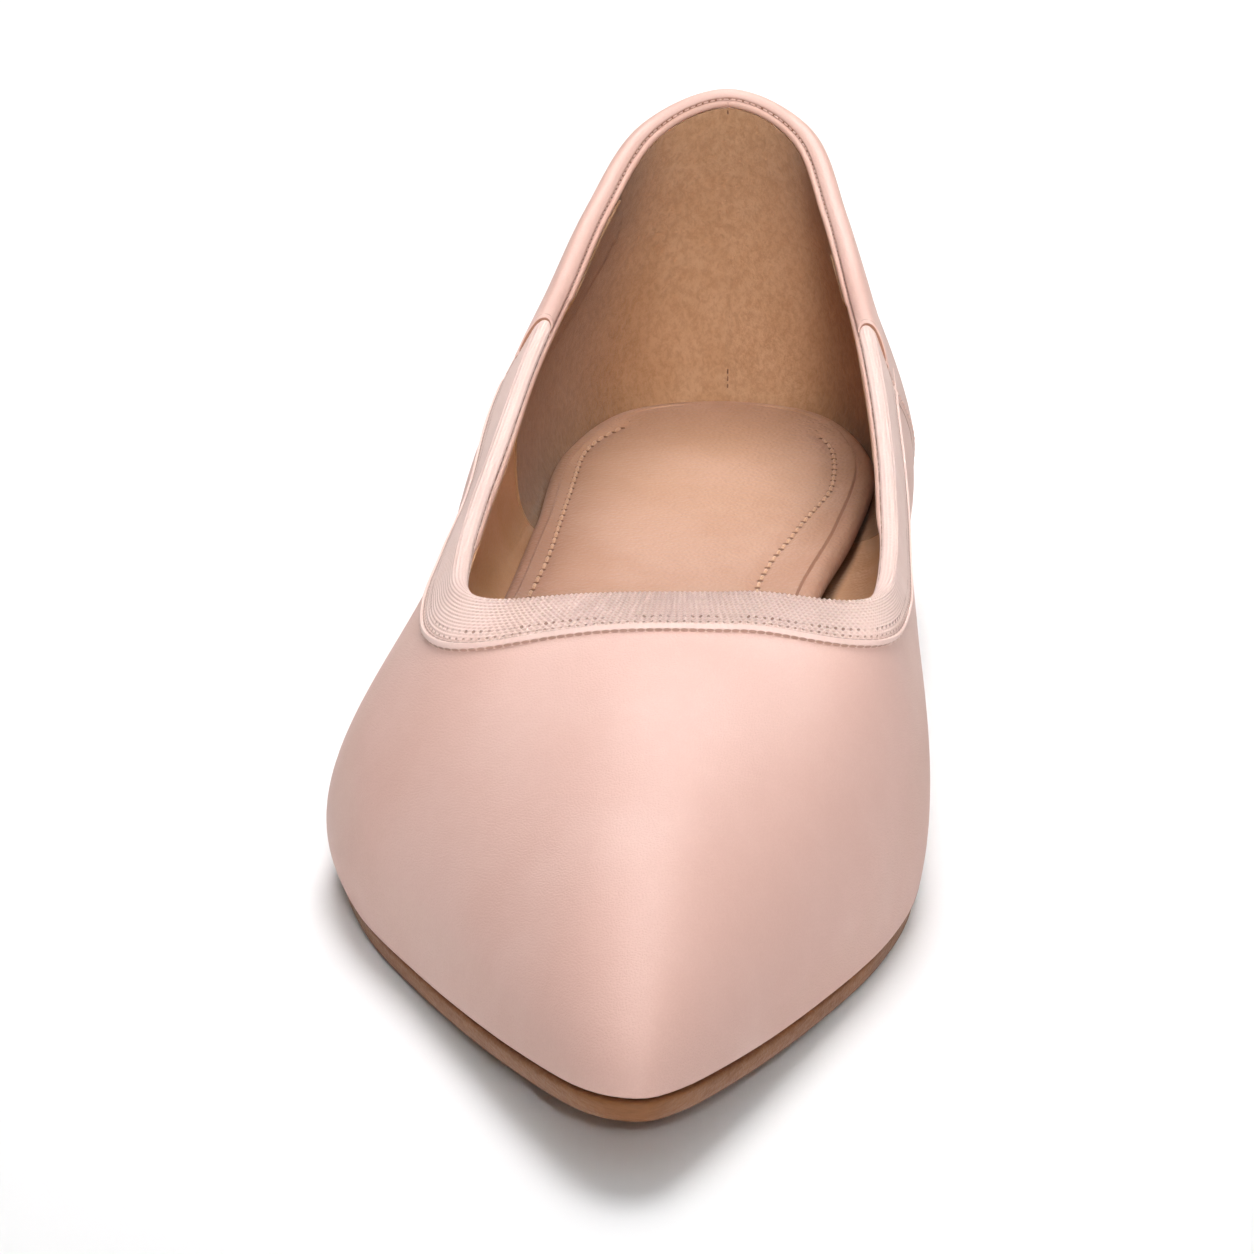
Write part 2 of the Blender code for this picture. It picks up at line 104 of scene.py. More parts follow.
# One row for each section round the shoe, from the heel along the outer side to the
# toe and back along the inner side. across and top_x are shares of BALL_WIDTH, along and
# top_y shares of LENGTH from the heel. back and throat are the topline's height in
# shares of BACK_HEIGHT and THROAT_HEIGHT. bulge and rise place the wall's lower
# handle, reach, flare and drop its upper one, and inset is the sock's distance from
# the wall's inner face, in shares of BALL_WIDTH. tuck is how far the sole's edge lies
# in under the wall, in shares of SOLE_TUCK.
SECTIONS = [
    dict(name="heel_back", across=0.000, along=0.012,
         top_x=0.000, top_y=0.020, back=1.000, throat=0.000,
         bulge=0.046, rise=0.33, reach=0.0, flare=0.040, drop=0.33, inset=0.020, tuck=0.30),
    dict(name="heel_turn_outer", across=-0.215, along=0.037,
         top_x=-0.154, top_y=0.040, back=0.925, throat=0.000,
         bulge=0.040, rise=0.33, reach=0.1, flare=0.035, drop=0.33, inset=0.020, tuck=0.30),
    dict(name="heel_side_outer", across=-0.325, along=0.120,
         top_x=-0.234, top_y=0.115, back=0.815, throat=0.000,
         bulge=0.040, rise=0.33, reach=0.2, flare=0.045, drop=0.33, inset=0.020, tuck=0.60),
    dict(name="quarter_outer", across=-0.350, along=0.232,
         top_x=-0.284, top_y=0.215, back=0.730, throat=0.000,
         bulge=.054, rise=0.33, reach=0.2, flare=.080, drop=0.33, inset=0.020, tuck=1.00),
    dict(name="waist_outer", across=-0.388, along=0.342,
         top_x=-0.322, top_y=0.320, back=0.510, throat=0.250,
         bulge=.068, rise=0.33, reach=0.2, flare=.093, drop=0.33, inset=0.020, tuck=1.00),
    dict(name="waist_front_outer", across=-0.450, along=0.435,
         top_x=-0.348, top_y=0.415, back=0.300, throat=0.520,
         bulge=0.040, rise=0.33, reach=0.20, flare=0.050, drop=0.32, inset=0.020, tuck=1.00),
    dict(name="ball_back_outer", across=-0.520, along=0.530,
         top_x=-0.366, top_y=0.500, back=0.120, throat=0.785,
         bulge=0.035, rise=0.35, reach=0.30, flare=0.030, drop=0.30, inset=0.020, tuck=1.00),
    dict(name="ball_outer", across=-0.566, along=0.618,
         top_x=-0.376, top_y=0.572, back=0.000, throat=0.925,
         bulge=.078, rise=.31, reach=0.42, flare=.006, drop=0.28, inset=0.020, tuck=1.00),
    dict(name="ball_front_outer", across=-0.513, along=0.700,
         top_x=-0.364, top_y=0.622, back=0.000, throat=0.925,
         bulge=.072, rise=.33, reach=0.46, flare=0.000, drop=0.25, inset=0.025, tuck=0.85),
    dict(name="toe_side_outer", across=-0.388, along=0.793,
         top_x=-0.300, top_y=0.646, back=0.000, throat=0.940,
         bulge=0.022, rise=0.34, reach=0.46, flare=0.000, drop=0.22, inset=0.032, tuck=0.50),
    dict(name="toe_shoulder_outer", across=-0.208, along=0.913,
         top_x=-0.160, top_y=0.652, back=0.000, throat=0.980,
         bulge=0.018, rise=0.34, reach=0.43, flare=0.000, drop=0.22, inset=0.044, tuck=0.15),
    dict(name="toe_turn_outer", across=-0.092, along=0.981,
         top_x=-0.080, top_y=0.654, back=0.000, throat=0.995,
         bulge=0.018, rise=0.34, reach=0.435, flare=0.000, drop=0.24, inset=0.056, tuck=0.00),
    dict(name="toe_tip", across=0.000, along=1.000,
         top_x=0.000, top_y=0.654, back=0.000, throat=1.000,
         bulge=0.020, rise=0.34, reach=0.44, flare=0.000, drop=0.25, inset=0.065, tuck=0.00),
    dict(name="toe_turn_inner", across=0.064, along=0.981,
         top_x=0.075, top_y=0.652, back=0.000, throat=0.998,
         bulge=0.018, rise=0.34, reach=0.435, flare=0.000, drop=0.24, inset=0.056, tuck=0.00),
    dict(name="toe_shoulder_inner", across=0.137, along=0.930,
         top_x=0.150, top_y=0.647, back=0.000, throat=0.990,
         bulge=0.018, rise=0.34, reach=0.43, flare=0.000, drop=0.22, inset=0.047, tuck=0.15),
    dict(name="toe_side_inner", across=0.262, along=0.825,
         top_x=0.290, top_y=0.642, back=0.000, throat=0.955,
         bulge=0.010, rise=0.34, reach=0.46, flare=0.000, drop=0.18, inset=0.035, tuck=0.50),
    dict(name="ball_front_inner", across=0.368, along=0.725,
         top_x=0.348, top_y=0.615, back=0.000, throat=0.935,
         bulge=.022, rise=0.36, reach=0.5, flare=0.010, drop=0.20, inset=0.032, tuck=0.85),
    dict(name="ball_inner", across=0.412, along=0.640,
         top_x=0.359, top_y=0.560, back=0.000, throat=0.930,
         bulge=0.040, rise=0.36, reach=0.4, flare=.014, drop=0.22, inset=0.041, tuck=1.00),
    dict(name="ball_back_inner", across=0.385, along=0.545,
         top_x=0.352, top_y=0.495, back=0.140, throat=0.775,
         bulge=0.045, rise=0.35, reach=0.25, flare=0.030, drop=0.26, inset=0.076, tuck=1.00),
    dict(name="waist_front_inner", across=0.345, along=0.445,
         top_x=0.338, top_y=0.412, back=0.310, throat=0.520,
         bulge=.052, rise=0.33, reach=0.2, flare=0.045, drop=0.28, inset=0.118, tuck=1.00),
    dict(name="waist_inner", across=0.325, along=0.345,
         top_x=0.311, top_y=0.320, back=0.515, throat=0.250,
         bulge=.060, rise=0.33, reach=0.2, flare=.056, drop=0.33, inset=0.112, tuck=1.00),
    dict(name="quarter_inner", across=0.328, along=0.235,
         top_x=0.271, top_y=0.215, back=0.730, throat=0.000,
         bulge=.076, rise=0.33, reach=0.2, flare=.068, drop=0.33, inset=0.053, tuck=1.00),
    dict(name="heel_side_inner", across=0.318, along=0.122,
         top_x=.217, top_y=0.115, back=0.815, throat=0.000,
         bulge=.032, rise=0.33, reach=0.2, flare=.014, drop=0.33, inset=0.020, tuck=0.60),
    dict(name="heel_turn_inner", across=0.210, along=0.037,
         top_x=0.148, top_y=0.040, back=0.925, throat=0.000,
         bulge=0.040, rise=0.33, reach=0.1, flare=0.030, drop=0.33, inset=0.020, tuck=0.30),
]
STATIONS = len(SECTIONS)
SEAM_OUTER = 3.40
SEAM_INNER = STATIONS - SEAM_OUTER
SPINE_HEEL = 0.12
SPINE_TOE = 0.88
TANGENT_STEP = 0.02
CURVE_STEPS = 80
MERGE_DISTANCE = 1e-7
SHARP_ANGLE = radians(50)

# How the side seam leans: distance down from the topline, place on the outer side
SEAM_LINE = [(-0.003, 3.42), (0.000, 3.45), (0.002, 3.58), (0.005, 3.62), (0.009, 3.56),
             (0.014, 3.36), (0.020, 3.12), (0.028, 2.84), (0.045, 2.50)]


# The shape of the last

def hermite(before, start, end, after, share):
    """Smooth value between start and end, from four values at even steps."""
    slope_in = (end - before) / 2
    slope_out = (after - start) / 2
    s2 = share * share
    s3 = s2 * share
    return ((2 * s3 - 3 * s2 + 1) * start + (s3 - 2 * s2 + share) * slope_in
            + (3 * s2 - 2 * s3) * end + (s3 - s2) * slope_out)


def section_value(name, place):
    """A column of SECTIONS, smoothed round the shoe."""
    first = int(place // 1)
    rows = [SECTIONS[(first + step) % STATIONS][name] for step in (-1, 0, 1, 2)]
    return hermite(*rows, place - first)


def profile_value(name, along):
    """A column of PROFILE at a share of the length, with no overshoot between equal rows."""
    along = min(max(along, 0.0), 1.0)
    index = max(i for i, row in enumerate(PROFILE[:-1]) if row["along"] <= along)
    a, b = PROFILE[index], PROFILE[index + 1]
    span = b["along"] - a["along"]
    share = (along - a["along"]) / span

    def slope(i):
        if i in (0, len(PROFILE) - 1):
            other = 1 if i == 0 else i - 1
            run = PROFILE[other]["along"] - PROFILE[i]["along"]
            return (PROFILE[other][name] - PROFILE[i][name]) / run
        run = PROFILE[i + 1]["along"] - PROFILE[i - 1]["along"]
        left = PROFILE[i][name] - PROFILE[i - 1][name]
        right = PROFILE[i + 1][name] - PROFILE[i][name]
        return (left + right) / run if left * right > 0 else 0.0

    s2 = share * share
    s3 = s2 * share
    return ((2 * s3 - 3 * s2 + 1) * a[name] + (s3 - 2 * s2 + share) * span * slope(index)
            + (3 * s2 - 2 * s3) * b[name] + (s3 - s2) * span * slope(index + 1))


def along_of(y):
    """Share of the length, from the heel."""
    return 0.5 - y / LENGTH


def y_of(along):
    """Place of a share of the length."""
    return (0.5 - along) * LENGTH


def sole_bottom(y):
    """Height of the sole's underside above the floor."""
    along = along_of(y)
    return HEEL_HEIGHT * profile_value("heel", along) + TOE_SPRING * profile_value("spring", along)


def seat(y):
    """Height of the upper's underside: the sole's top and the gap over it."""
    return sole_bottom(y) + SOLE_THICKNESS + GAP


def raw_feather(place):
    """Point of the feather line in plan, measured across from the line heel to toe."""
    return Vector((section_value("across", place) * BALL_WIDTH, y_of(section_value("along", place)), 0.0))


# The middle of the outline's width lies on X = 0
OUTLINE_X = [raw_feather(i / 8).x for i in range(8 * STATIONS)]
MIDDLE_X = (min(OUTLINE_X) + max(OUTLINE_X)) / 2


def feather(place):
    """Point of the feather line, where the upper meets the sole."""
    point = raw_feather(place)
    point.x -= MIDDLE_X
    point.z = seat(point.y)
    return point


def outward(place):
    """Flat unit vector from the spine, the line from heel to toe, to the feather line."""
    point = feather(place)
    y = min(max(point.y, y_of(SPINE_TOE)), y_of(SPINE_HEEL))
    away = Vector((point.x + MIDDLE_X, point.y - y, 0.0))
    return away.normalized()


def topline(place):
    """Point of the upper's top edge on its outer face."""
    x = section_value("top_x", place) * BALL_WIDTH - MIDDLE_X
    y = y_of(section_value("top_y", place))
    height = section_value("back", place) * BACK_HEIGHT + section_value("throat", place) * THROAT_HEIGHT
    return Vector((x, y, seat(y) + height))


@lru_cache(maxsize=None)
def wall_handles(place):
    """The four handles of the wall's curve from the feather line to the topline."""
    low = feather(place)
    top = topline(place)
    height = top.z - low.z
    out = outward(place)
    flat = Vector((low.x - top.x, low.y - top.y, 0.0))
    lower = low + out * section_value("bulge", place) * BALL_WIDTH
    lower.z += section_value("rise", place) * height
    upper = top + flat * section_value("reach", place) + out * section_value("flare", place) * BALL_WIDTH
    upper.z -= section_value("drop", place) * height
    return low, lower, upper, top


def on_curve(handles, t):
    """Point of a cubic curve with four handles."""
    a, b, c, d = handles
    s = 1 - t
    return a * s ** 3 + b * 3 * s * s * t + c * 3 * s * t * t + d * t ** 3


def wall_point(place, t):
    """Point of the last's surface: t is 0 at the feather line and 1 at the topline."""
    return on_curve(wall_handles(place), t)


def wall_normal(place, t):
    """Unit vector pointing out of the shoe, square to the wall."""
    round_it = wall_point(place + TANGENT_STEP, t) - wall_point(place - TANGENT_STEP, t)
    up_it = wall_point(place, min(t + TANGENT_STEP, 1.0)) - wall_point(place, max(t - TANGENT_STEP, 0.0))
    return round_it.cross(up_it).normalized()


def ramp(value, low, high):
    """0 up to low, 1 from high, and smooth between them."""
    share = min(max((value - low) / (high - low), 0.0), 1.0)
    return share * share * (3 - 2 * share)


def ridge(value, centre, width):
    """A smooth ridge one high, width wide."""
    away = min(abs(value - centre) / width * 2, 1.0)
    return (1 - away * away) ** 2


def along_line(points, value):
    """Smooth value at a point of a list of (position, value) pairs."""
    last = len(points) - 1
    if value <= points[0][0]:
        return points[0][1]
    if value >= points[last][0]:
        return points[last][1]
    i = max(k for k in range(last) if points[k][0] <= value)
    share = (value - points[i][0]) / (points[i + 1][0] - points[i][0])
    return hermite(points[max(i - 1, 0)][1], points[i][1], points[i + 1][1],
                   points[min(i + 2, last)][1], share)


@lru_cache(maxsize=None)
def way_down(place):
    """Distances from the topline down a section's wall, at even steps of t."""
    handles = wall_handles(place)
    last = handles[3]
    done = [0.0]
    for i in range(1, CURVE_STEPS + 1):
        point = on_curve(handles, 1 - i / CURVE_STEPS)
        done.append(done[-1] + (point - last).length)
        last = point
    return done


def wall_length(place):
    """Length of the wall from the topline down to the feather line."""
    return way_down(place)[-1]


def t_below(place, distance):
    """The value of t that lies this far down the wall from the topline."""
    done = way_down(place)
    if distance <= 0:
        return 1.0
    low, high = 0, CURVE_STEPS
    while high - low > 1:
        middle = (low + high) // 2
        if done[middle] <= distance:
            low = middle
        else:
            high = middle
    share = min((distance - done[low]) / (done[high] - done[low]), 1.0)
    return 1 - (low + share) / CURVE_STEPS


def on_skin(place, distance, lift):
    """Point lifted off the last's surface, this far down from the topline."""
    t = t_below(place, distance)
    return wall_point(place, t) + wall_normal(place, t) * lift


def fold_point(place, turn, depth, radius):
    """Point of the fold over the top edge: turn runs from 0 outside to pi inside."""
    top = wall_point(place, 1.0)
    out = wall_normal(place, 1.0)
    up = (top - wall_point(place, 1 - TANGENT_STEP)).normalized()
    return top - out * depth + out * cos(turn) * radius + up * sin(turn) * radius


def seam_place(distance, inner):
    """Place of the side seam this far down from the topline."""
    place = along_line(SEAM_LINE, distance)
    return STATIONS - place if inner else place


def even_places(start, end, pitch, height=0.0):
    """Places from start to end whose points are about pitch apart at this distance down."""
    steps = 800
    fine = [start + (end - start) * i / steps for i in range(steps + 1)]
    points = [on_skin(place, height, 0.0) for place in fine]
    done = [0.0]
    for a, b in zip(points, points[1:]):
        done.append(done[-1] + (b - a).length)
    count = max(round(done[-1] / pitch), 2)
    places = []
    k = 0
    for i in range(count + 1):
        want = done[-1] * i / count
        while k < steps - 1 and done[k + 1] < want:
            k += 1
        share = (want - done[k]) / max(done[k + 1] - done[k], 1e-9)
        places.append(fine[k] + (fine[k + 1] - fine[k]) * min(max(share, 0.0), 1.0))
    return places


def run_of(places, height=0.0):
    """Distance from the first place to each, measured this far down the wall."""
    points = [on_skin(place, height, 0.0) for place in places]
    done = [0.0]
    for a, b in zip(points, points[1:]):
        done.append(done[-1] + (b - a).length)
    return done


# Mesh helpers

def place_mesh(name, bm):
    """Turn finished faces into a smooth object that rides on the shoe."""
    bmesh.ops.recalc_face_normals(bm, faces=bm.faces)
    mesh = bpy.data.meshes.new(name)
    bm.to_mesh(mesh)
    bm.free()
    mesh.shade_smooth()
    piece = bpy.data.objects.new(name, mesh)
    bpy.context.scene.collection.objects.link(piece)
    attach(piece, "root")
    return piece


def cap_pairs(count, split):
    """Corners of the triangles between a ring's first split points and the rest, which run back."""
    first, rest = list(range(split)), list(range(count - 1, split - 1, -1))
    a = b = 0
    corners = []
    while a < len(first) - 1 or b < len(rest) - 1:
        ahead = (a + 1) * (len(rest) - 1) <= (b + 1) * (len(first) - 1)
        if b == len(rest) - 1 or (a < len(first) - 1 and ahead):
            corners.append((first[a], first[a + 1], rest[b]))
            a += 1
        else:
            corners.append((first[a], rest[b + 1], rest[b]))
            b += 1
    return corners


def loft(name, sections, coordinates, closed=False, capped=True, split=None):
    """Closed body through section loops. coordinates holds each point's (u, v) on the strip.

    An end is closed from side to side: split is how many points its first side has, or half.
    """
    bm = bmesh.new()
    layer = bm.loops.layers.uv.new("strip")
    rings = [[bm.verts.new(point) for point in section] for section in sections]
    count = len(rings[0])
    total = len(rings)
    for a in range(total if closed else total - 1):
        b = (a + 1) % total
        for i in range(count):
            j = (i + 1) % count
            face = bm.faces.new((rings[a][i], rings[a][j], rings[b][j], rings[b][i]))
            corners = ((a, i), (a, j), (a + 1, j), (a + 1, i))
            for loop, (k, m) in zip(face.loops, corners):
                loop[layer].uv = coordinates[k][m]
    if not closed and capped:
        for k in (0, total - 1):
            for corners in cap_pairs(count, split or count // 2):
                face = bm.faces.new([rings[k][m] for m in corners])
                for loop, m in zip(face.loops, corners):
                    loop[layer].uv = coordinates[k][m]
    bmesh.ops.remove_doubles(bm, verts=bm.verts, dist=MERGE_DISTANCE)
    bmesh.ops.dissolve_degenerate(bm, edges=bm.edges, dist=MERGE_DISTANCE)
    piece = place_mesh(name, bm)
    piece.data.set_sharp_from_angle(angle=SHARP_ANGLE)
    return piece


# Pieces of the upper and its trims

def make_vamp():
    """The upper's leather: one lasted skin, turned in under the foot and up to the throat."""
    places = even_places(0.0, STATIONS, 0.0016, 0.02)[:-1]
    run = run_of(places + [STATIONS], 0.02)
    rows = 46
    sections, strip = [], []
    for place in places:
        quarter = place < SEAM_OUTER or place > SEAM_INNER
        width = (COLLAR_WIDTH if quarter else BAND_WIDTH) - 0.0004
        edge = t_below(place, width)
        low = feather(place)
        out = outward(place)
        loop = []
        for inset, height in ((LASTING_MARGIN, 0.0), (0.0022, 0.0), (0.0010, 0.0), (0.0004, 0.00008)):
            loop.append(low - out * inset + Vector((0, 0, height)))
        for i in range(rows + 1):
            share = i / rows
            t = edge * (0.012 + 0.988 * (0.55 * share + 0.45 * share * share))
            loop.append(wall_point(place, t))
        for share in (0.04, 0.3, 0.6, 1.0):
            t = edge + (1 - edge) * share
            loop.append(wall_point(place, t) - wall_normal(place, t) * RECESS)
        for i in range(14):
            t = 1 - i / 13 * 0.965
            loop.append(wall_point(place, t) - wall_normal(place, t) * SKIN)
        for inset in (SKIN * 1.3, LASTING_MARGIN):
            loop.append(low - out * inset + Vector((0, 0, SKIN)))
        sections.append(loop)
    count = len(sections[0])
    for distance in run:
        strip.append([(distance, m / count) for m in range(count)])
    return loft("vamp", sections, strip, closed=True)


def make_quarters():
    """The back's outer leather: it laps the vamp at both side seams."""
    places = even_places(SEAM_INNER, STATIONS + SEAM_OUTER, 0.0014, 0.02)
    run = run_of(places, 0.02)
    rows = 40
    sections, strip = [], []
    for k, place in enumerate(places):
        from_inner, from_outer = run[k], run[-1] - run[k]
        near = min(from_inner, from_outer)
        inner = from_inner < from_outer
        lean = 1 - ramp(near, 0.0, 0.045)
        lift = QUARTER_STEP * sqrt(max(1 - (1 - min(near / 0.0006, 1.0)) ** 2, 0.0))
        length = wall_length(place)
        straight = SEAM_INNER if inner else SEAM_OUTER
        top_side, under_side, marks = [], [], []
        for i in range(rows + 1):
            share = i / rows
            distance = QUARTER_TOP + (length - QUARTER_TOP) * (1 - share)
            moved = place + (seam_place(distance, inner) - straight) * lean
            end = ramp(share, 0.0, 0.03)
            rise = lift * (0.25 + 0.75 * end)
            distance = QUARTER_TOP + (wall_length(moved) - QUARTER_TOP) * (1 - share)
            t = max(t_below(moved, distance), 0.004)
            point = wall_point(moved, t)
            normal = wall_normal(moved, t)
            top_side.append(point + normal * (rise + 0.00002))
            under_side.append(point - normal * 0.00012)
            marks.append((near, distance))
        sections.append(top_side + under_side[::-1])
        strip.append(marks + marks[::-1])
    return loft("quarters", sections, strip)


LEG_ROWS = 3


def trim_loop(place_at, width, face_lift, fold_radius, rows, fold_rows, sunk):
    """Outer path of a strip on the topline: up the outside, over the edge and down inside.

    place_at(v) is the place of the point that lies v down the outside, or less than 0
    on the fold and inside. face_lift(v) is the strip's height over the last, and
    fold_radius(turn) the fold's radius. The strip's lower edge is sunk into the vamp.
    Gives the points and their values of v.
    """
    path = [on_skin(place_at(width), width, -sunk)]
    marks = [width]
    for i in range(rows + 1):
        v = width * (1 - i / rows)
        path.append(on_skin(place_at(v), v, face_lift(v)))
        marks.append(v)
    for i in range(1, fold_rows):
        turn = pi * i / fold_rows
        v = -FOLD_RADIUS * turn
        path.append(fold_point(place_at(v), turn, FOLD_DEPTH, fold_radius(turn)))
        marks.append(v)
    inner = FOLD_DEPTH + fold_radius(pi)
    for i in range(LEG_ROWS + 1):
        down = TRIM_INNER_LEG * i / LEG_ROWS
        v = -FOLD_RADIUS * pi - down
        path.append(on_skin(place_at(v), down, -inner))
        marks.append(v)
    return path, marks


def trim_lining(place_at, width, count):
    """Under side of a strip, as many points as its outer path, from the inner leg back."""
    points = []
    half = count // 2
    for i in range(half):
        down = TRIM_INNER_LEG * (1 - i / (half - 1))
        points.append(on_skin(place_at(-0.003 - down), down, -(WALL - 0.0001)))
    for i in range(count - half):
        down = width * i / (count - half - 1)
        points.append(on_skin(place_at(down), down, -(RECESS - 0.0001)))
    return points


FOLD_DEPTH = (WALL + GAP + TRIM_INSIDE - TRIM_PROUD) / 2
FOLD_RADIUS = FOLD_DEPTH + TRIM_PROUD
GROOVE_TURN = radians(143)
BAND_LINING_POINTS = 24

# How far the roll's end reaches forward: distance down from the edge, places
ROLL_END = [(-0.0090, 0.12), (-0.0040, 0.10), (-0.0022, 0.03), (-0.0008, 0.04), (0.0006, 0.09),
            (0.0025, 0.17), (0.0050, 0.22)]


def groove(turn):
    """Pinch in a fold where the bead lies against it."""
    return 0.00034 * ridge(turn, GROOVE_TURN, radians(30))


def make_throat_band():
    """Knitted elastic with fine ribs, a row of loops and a corded edge, sewn round the throat."""
    middle = 12.05
    corner_outer, corner_inner = 8.2, 15.6
    places = (even_places(SEAM_OUTER - 0.06, corner_outer, 0.00060, 0.004)[:-1]
              + even_places(corner_outer, corner_inner, RIB_PITCH / 5, 0.001)[:-1]
              + even_places(corner_inner, SEAM_INNER + 0.06, 0.00060, 0.004))
    run = run_of(places, 0.001)
    centre = run[min(range(len(places)), key=lambda k: abs(places[k] - middle))]
    sections, strip = [], []
    width = BAND_WIDTH + TRIM_LAP
    for k, place in enumerate(places):
        u = run[k] - centre
        ribs = 1 - ramp(abs(u), 0.021, 0.031)
        slant = 0.9 * u / 0.030
        past = min(place - SEAM_OUTER, SEAM_INNER - place)

        def under_roll(v):
            if past > 0.3:
                return 0.0
            return 0.00020 * (1 - ramp(past - along_line(ROLL_END, v), 0.0, 0.035))

        def rib(v):
            wave = cos(2 * pi * (u - slant * max(v, 0.0)) / RIB_PITCH)
            off_cord = 1 - ramp(v, width - 0.0022, width - 0.0013)
            return RIB_DEPTH * ribs * wave * off_cord * ramp(v, -0.0026, -0.0010)

        def lift(v):
            face = TRIM_PROUD * ramp(width - v, -0.0001, 0.00030)
            cord = 0.00034 * ridge(v, width - 0.00075, 0.00080)
            stitched = -0.00014 * ridge(v, width - 0.00150, 0.0005)
            return face + cord + stitched + rib(v) - under_roll(v)

        def fold(turn):
            v = -FOLD_RADIUS * turn
            return FOLD_RADIUS + rib(v) - under_roll(v) - groove(turn)

        path, marks = trim_loop(lambda v: place, width, lift, fold, rows=40, fold_rows=20, sunk=0.0004)
        sections.append(path + trim_lining(lambda v: place, width, BAND_LINING_POINTS))
        strip.append([(u, v) for v in marks] + [(u, 0.02)] * BAND_LINING_POINTS)
    return loft("knit_band", sections, strip, split=len(sections[0]) - BAND_LINING_POINTS)


def roll_place(v, place, from_end, inner):
    """Place on the collar roll: its ends follow the side seam's line over the edge."""
    ahead = along_line(ROLL_END, v) * (1 - ramp(from_end, 0.0, 0.016))
    return place - ahead if inner else place + ahead


def make_collar_roll():
    """Leather folded over the back's top edge, rounded like a roll."""
    places = (even_places(SEAM_INNER, SEAM_INNER + 0.08, 0.00025)[:-1]
              + even_places(SEAM_INNER + 0.08, STATIONS + SEAM_OUTER - 0.08, 0.0010)[:-1]
              + even_places(STATIONS + SEAM_OUTER - 0.08, STATIONS + SEAM_OUTER, 0.00025))
    run = run_of(places)
    sections, strip = [], []
    width = COLLAR_WIDTH + TRIM_LAP
    for k, place in enumerate(places):
        near = min(run[k], run[-1] - run[k])
        inner = run[k] < run[-1] - run[k]
        eased = 0.00034 * (1 - sqrt(max(1 - (1 - min(near / 0.0005, 1.0)) ** 2, 0.0)))

        def lift(v):
            face = (QUARTER_STEP + 0.00026) * ramp(width - v, -0.0002, 0.0006)
            roll = 0.00030 * ridge(v, 0.0012, 0.0054)
            tuck = -0.00022 * ridge(v, width - 0.0013, 0.0007)
            return face + roll + tuck - eased

        def fold(turn):
            fuller = (lift(0.0) + eased - TRIM_PROUD) * (1 + cos(turn)) / 2
            return FOLD_RADIUS + fuller - eased - groove(turn)

        def place_at(v):
            return roll_place(v, place, near, inner)

        path, marks = trim_loop(place_at, width, lift, fold, rows=22, fold_rows=22, sunk=0.0001)
        sections.append(path + trim_lining(place_at, width, len(path)))
        strip.append([(near, v) for v in marks] + [(near, 0.02) for v in marks])
    return loft("collar_binding", sections, strip)


def tube(name, places, centre_of, radius_of, sides=14):
    """Closed cord through centre_of(place), round in section."""
    centres = [centre_of(place) for place in places]
    sections, strip = [], []
    done = 0.0
    for k, place in enumerate(places):
        before, after = centres[max(k - 1, 0)], centres[min(k + 1, len(places) - 1)]
        along = (after - before).normalized()
        out = wall_normal(place, 1.0)
        across = (out - along * out.dot(along)).normalized()
        up = along.cross(across)
        if k:
            done += (centres[k] - centres[k - 1]).length
        ring = []
        for i in range(sides):
            turn = 2 * pi * i / sides
            ring.append(centres[k] + (across * cos(turn) + up * sin(turn)) * radius_of(place))
        sections.append(ring)
        strip.append([(done, radius_of(place) * 2 * pi * i / sides) for i in range(sides)])
    return loft(name, sections, strip)


# Places where the beads under the fold meet or end
BEAD_JOINT = 3.02
BEAD_END_OUTER = 7.55
BEAD_END_INNER = STATIONS - 7.30


def bead_centre(place, drop=0.0, outwards=0.0):
    """Middle of the bead under the fold's inner side."""
    top = wall_point(place, 1.0)
    out = wall_normal(place, 1.0)
    up = (top - wall_point(place, 1 - TANGENT_STEP)).normalized()
    return top - out * (FOLD_DEPTH + FOLD_RADIUS + 0.00008 - outwards) + up * (0.00016 - drop)


def make_back_beads():
    """Bead of the collar's lining, in two halves that meet at the back."""
    beads = []
    for name, start, end in (("back_bead_inner", STATIONS - BEAD_JOINT, STATIONS - 0.012),
                             ("back_bead_outer", STATIONS + 0.012, STATIONS + BEAD_JOINT)):
        places = even_places(start, end, 0.0010)
        ends = (start, end)

        def radius(place, ends=ends):
            near = min(abs(place - ends[0]), abs(place - ends[1]))
            return BEAD_RADIUS * (0.62 + 0.38 * ramp(near, 0.0, 0.035))

        beads.append(tube(name, places, bead_centre, radius))
    return beads


def make_front_beads():
    """Thinner bead along each side of the throat, ending at its corners."""
    beads = []
    for name, start, end in (("throat_bead_outer", BEAD_JOINT - 0.03, BEAD_END_OUTER),
                             ("throat_bead_inner", STATIONS - BEAD_JOINT + 0.03, BEAD_END_INNER)):
        low, high = min(start, end), max(start, end)
        places = even_places(low, high, 0.0011)

        def fade(place, end=end):
            return ramp(abs(place - end), 0.0, 1.2)

        def centre(place, fade=fade):
            gone = 1 - fade(place)
            return bead_centre(place, 0.0007 * gone + 0.00005, 0.0011 * gone + 0.0001)

        def radius(place, fade=fade):
            return BEAD_RADIUS * (0.30 + 0.58 * fade(place))

        beads.append(tube(name, places, centre, radius))
    return beads


# Linings, sole and sock

def sock_inset(place):
    """Distance from the feather line to the sock's edge."""
    return WALL + section_value("inset", place) * BALL_WIDTH


def sock_edge(place):
    """Point of the sock's edge in plan."""
    return feather(place) - outward(place) * sock_inset(place)


